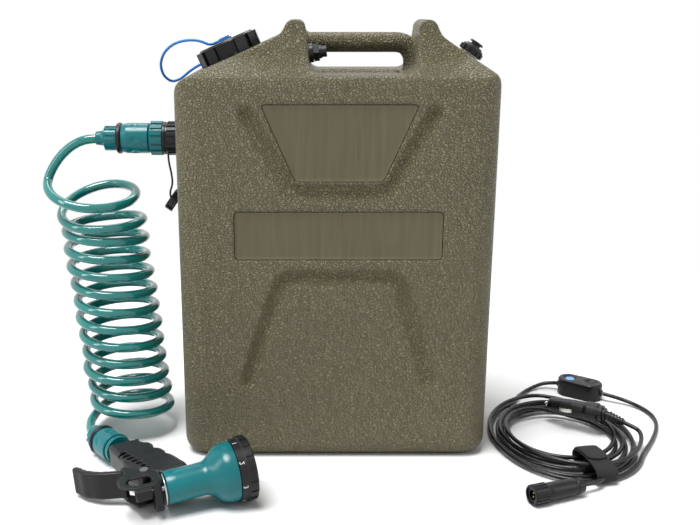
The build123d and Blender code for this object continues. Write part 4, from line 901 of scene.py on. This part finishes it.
input_value(nodes_modifier, tree, "Radius", 0.55 * MM)
ridge_mesh = bpy.data.meshes.new_from_object(ridges.evaluated_get(bpy.context.evaluated_depsgraph_get()))
bpy.data.objects.remove(ridges)
paddle_ridges = bpy.data.objects.new("paddle_ridges", ridge_mesh)
scene.collection.objects.link(paddle_ridges)
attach(paddle_ridges, "trigger_lever")
print("ridges", RIDGES, "faces", len(ridge_mesh.polygons))

# %% [markdown]
# ### Numbers on the dial
#
# The dial turns to choose the spray, and its band is printed. Plain numbers stand in for the maker's words. Each
# is a text turned into a mesh, then bent round the band by moving its vertices.

# %% Dial numbers
BAND_MIDDLE = 83.7
BAND_RADIUS = 32.42
NUMBER_SIZE = 5.4
MATERIALS["print"] = moulded("printed_white", srgb(232, 232, 228), 0.5, grain=2000.0, edge=0.0)


def number_on_band(text, angle):
    """The flat mesh of a number, wrapped round the dial's band at an angle."""
    letters = bpy.data.curves.new("number_" + text, "FONT")
    letters.body = text
    letters.size = NUMBER_SIZE * MM * 1.35
    letters.align_x = "CENTER"
    letters.align_y = "CENTER"
    letters.extrude = 0.00012
    flat = bpy.data.objects.new("number_" + text, letters)
    scene.collection.objects.link(flat)
    mesh = bpy.data.meshes.new_from_object(flat.evaluated_get(bpy.context.evaluated_depsgraph_get()))
    bpy.data.objects.remove(flat)
    for vertex in mesh.vertices:
        across, up, out = vertex.co
        turn = angle + across / (BAND_RADIUS * MM)
        reach = BAND_RADIUS * MM + out
        vertex.co = GUN @ Vector((BAND_MIDDLE * MM - up, reach * math.cos(turn), reach * math.sin(turn)))
    return mesh


work = bmesh.new()
for index in range(8):
    work.from_mesh(number_on_band(str(index + 1), 2 * math.pi * index / 8 + math.radians(100)))
dial_numbers = object_from("dial_numbers", work, MATERIALS["print"])
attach(dial_numbers, "nozzle")
print("dial number faces", len(dial_numbers.data.polygons))

# %% [markdown]
# ### The trigger catch
#
# A thin bent wire sits behind the barrel and holds the lever in for a steady spray. A short curve makes it.

# %% Trigger catch
CATCH = [(6.2, -2.0, 16.4), (6.0, -9.0, 15.2), (5.8, -15.6, 8.8), (5.8, -18.2, 0.0), (5.8, -15.6, -8.8), (6.0, -9.0, -15.2)]
catch_points = [tuple(GUN @ (Vector(point) * MM) / MM) for point in CATCH]
catch = cord_curve("trigger_catch", catch_points, 0.0017, MATERIALS["steel"])
catch_mesh = bpy.data.meshes.new_from_object(catch.evaluated_get(bpy.context.evaluated_depsgraph_get()))
bpy.data.objects.remove(catch)
trigger_catch = bpy.data.objects.new("trigger_catch", catch_mesh)
scene.collection.objects.link(trigger_catch)
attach(trigger_catch, "base")

# %% [markdown]
# ## The tie round the lead
#
# A hook-and-loop tie holds the coiled lead. It is soft, so its loop is round and its edges are fuzzy. The band is
# swept along a rounded loop as plain mesh code, a little wavy, with its end lapping over its start.

# %% Tie
low_corner, high_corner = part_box("lead_tie")
tie_centre = (low_corner + high_corner) / 2
heading = math.radians(-80)
tie_out = Vector((math.cos(heading), math.sin(heading), 0))
tie_along = Vector((-tie_out.y, tie_out.x, 0))
TIE_HALF_LONG = 29.6
TIE_HALF_HIGH = (high_corner.z - low_corner.z) / MM / 2 - 1.6
TIE_WIDTH = 24.0
TIE_THICK = 2.4
TIE_STEPS = 110
TIE_LAPS = 1.22


def tie_point(turn, lift):
    """A point of the loop, a squarish round, lifted outwards."""
    c, s = math.cos(turn), math.sin(turn)
    shape = (abs(c) ** 2.6 + abs(s) ** 2.6) ** (-1 / 2.6)
    flat = tie_out * (c * shape * (TIE_HALF_LONG + lift)) + Vector((0, 0, s * shape * (TIE_HALF_HIGH + lift)))
    return tie_centre + flat * MM


work = bmesh.new()
rings = []
for step in range(TIE_STEPS + 1):
    share = step / TIE_STEPS
    turn = math.radians(150) - 2 * math.pi * TIE_LAPS * share
    lap = max(0.0, share * TIE_LAPS - 1.0)
    lift = min(1.0, lap / 0.05) * (TIE_THICK + 0.15)
    wave = noise.noise(Vector((share * 9.0, 2.0, 5.0))) * 0.5
    end = 1.0 if share < 0.97 else math.sqrt(max(0.05, 1 - ((share - 0.97) / 0.03) ** 2))
    half = TIE_WIDTH / 2 * end + wave
    ring = []
    for across, out in ((-1, 0.25), (-0.97, 0.0), (0, -0.1), (0.97, 0.0), (1, 0.25), (1, 0.75), (0.97, 1.0), (0, 1.15),
                        (-0.97, 1.0), (-1, 0.75)):
        place = tie_point(turn, lift + out * TIE_THICK - 0.6) + tie_along * (across * half + wave * 0.6) * MM
        ring.append(work.verts.new(place))
    rings.append(ring)
for ring, after in zip(rings, rings[1:]):
    for index in range(len(ring)):
        other = (index + 1) % len(ring)
        work.faces.new((ring[index], ring[other], after[other], after[index]))
work.faces.new(rings[0][::-1])
work.faces.new(rings[-1])
tie = object_from("tie", work, MATERIALS["tie"])
rounding = tie.modifiers.new("round", "SUBSURF")
rounding.levels = rounding.render_levels = 1
baked(tie)
tie.data.shade_smooth()
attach(tie, "base")
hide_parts("lead_tie")
print("tie box low", round(min(v.co.z for v in tie.data.vertices) * 1000, 2), "mm")
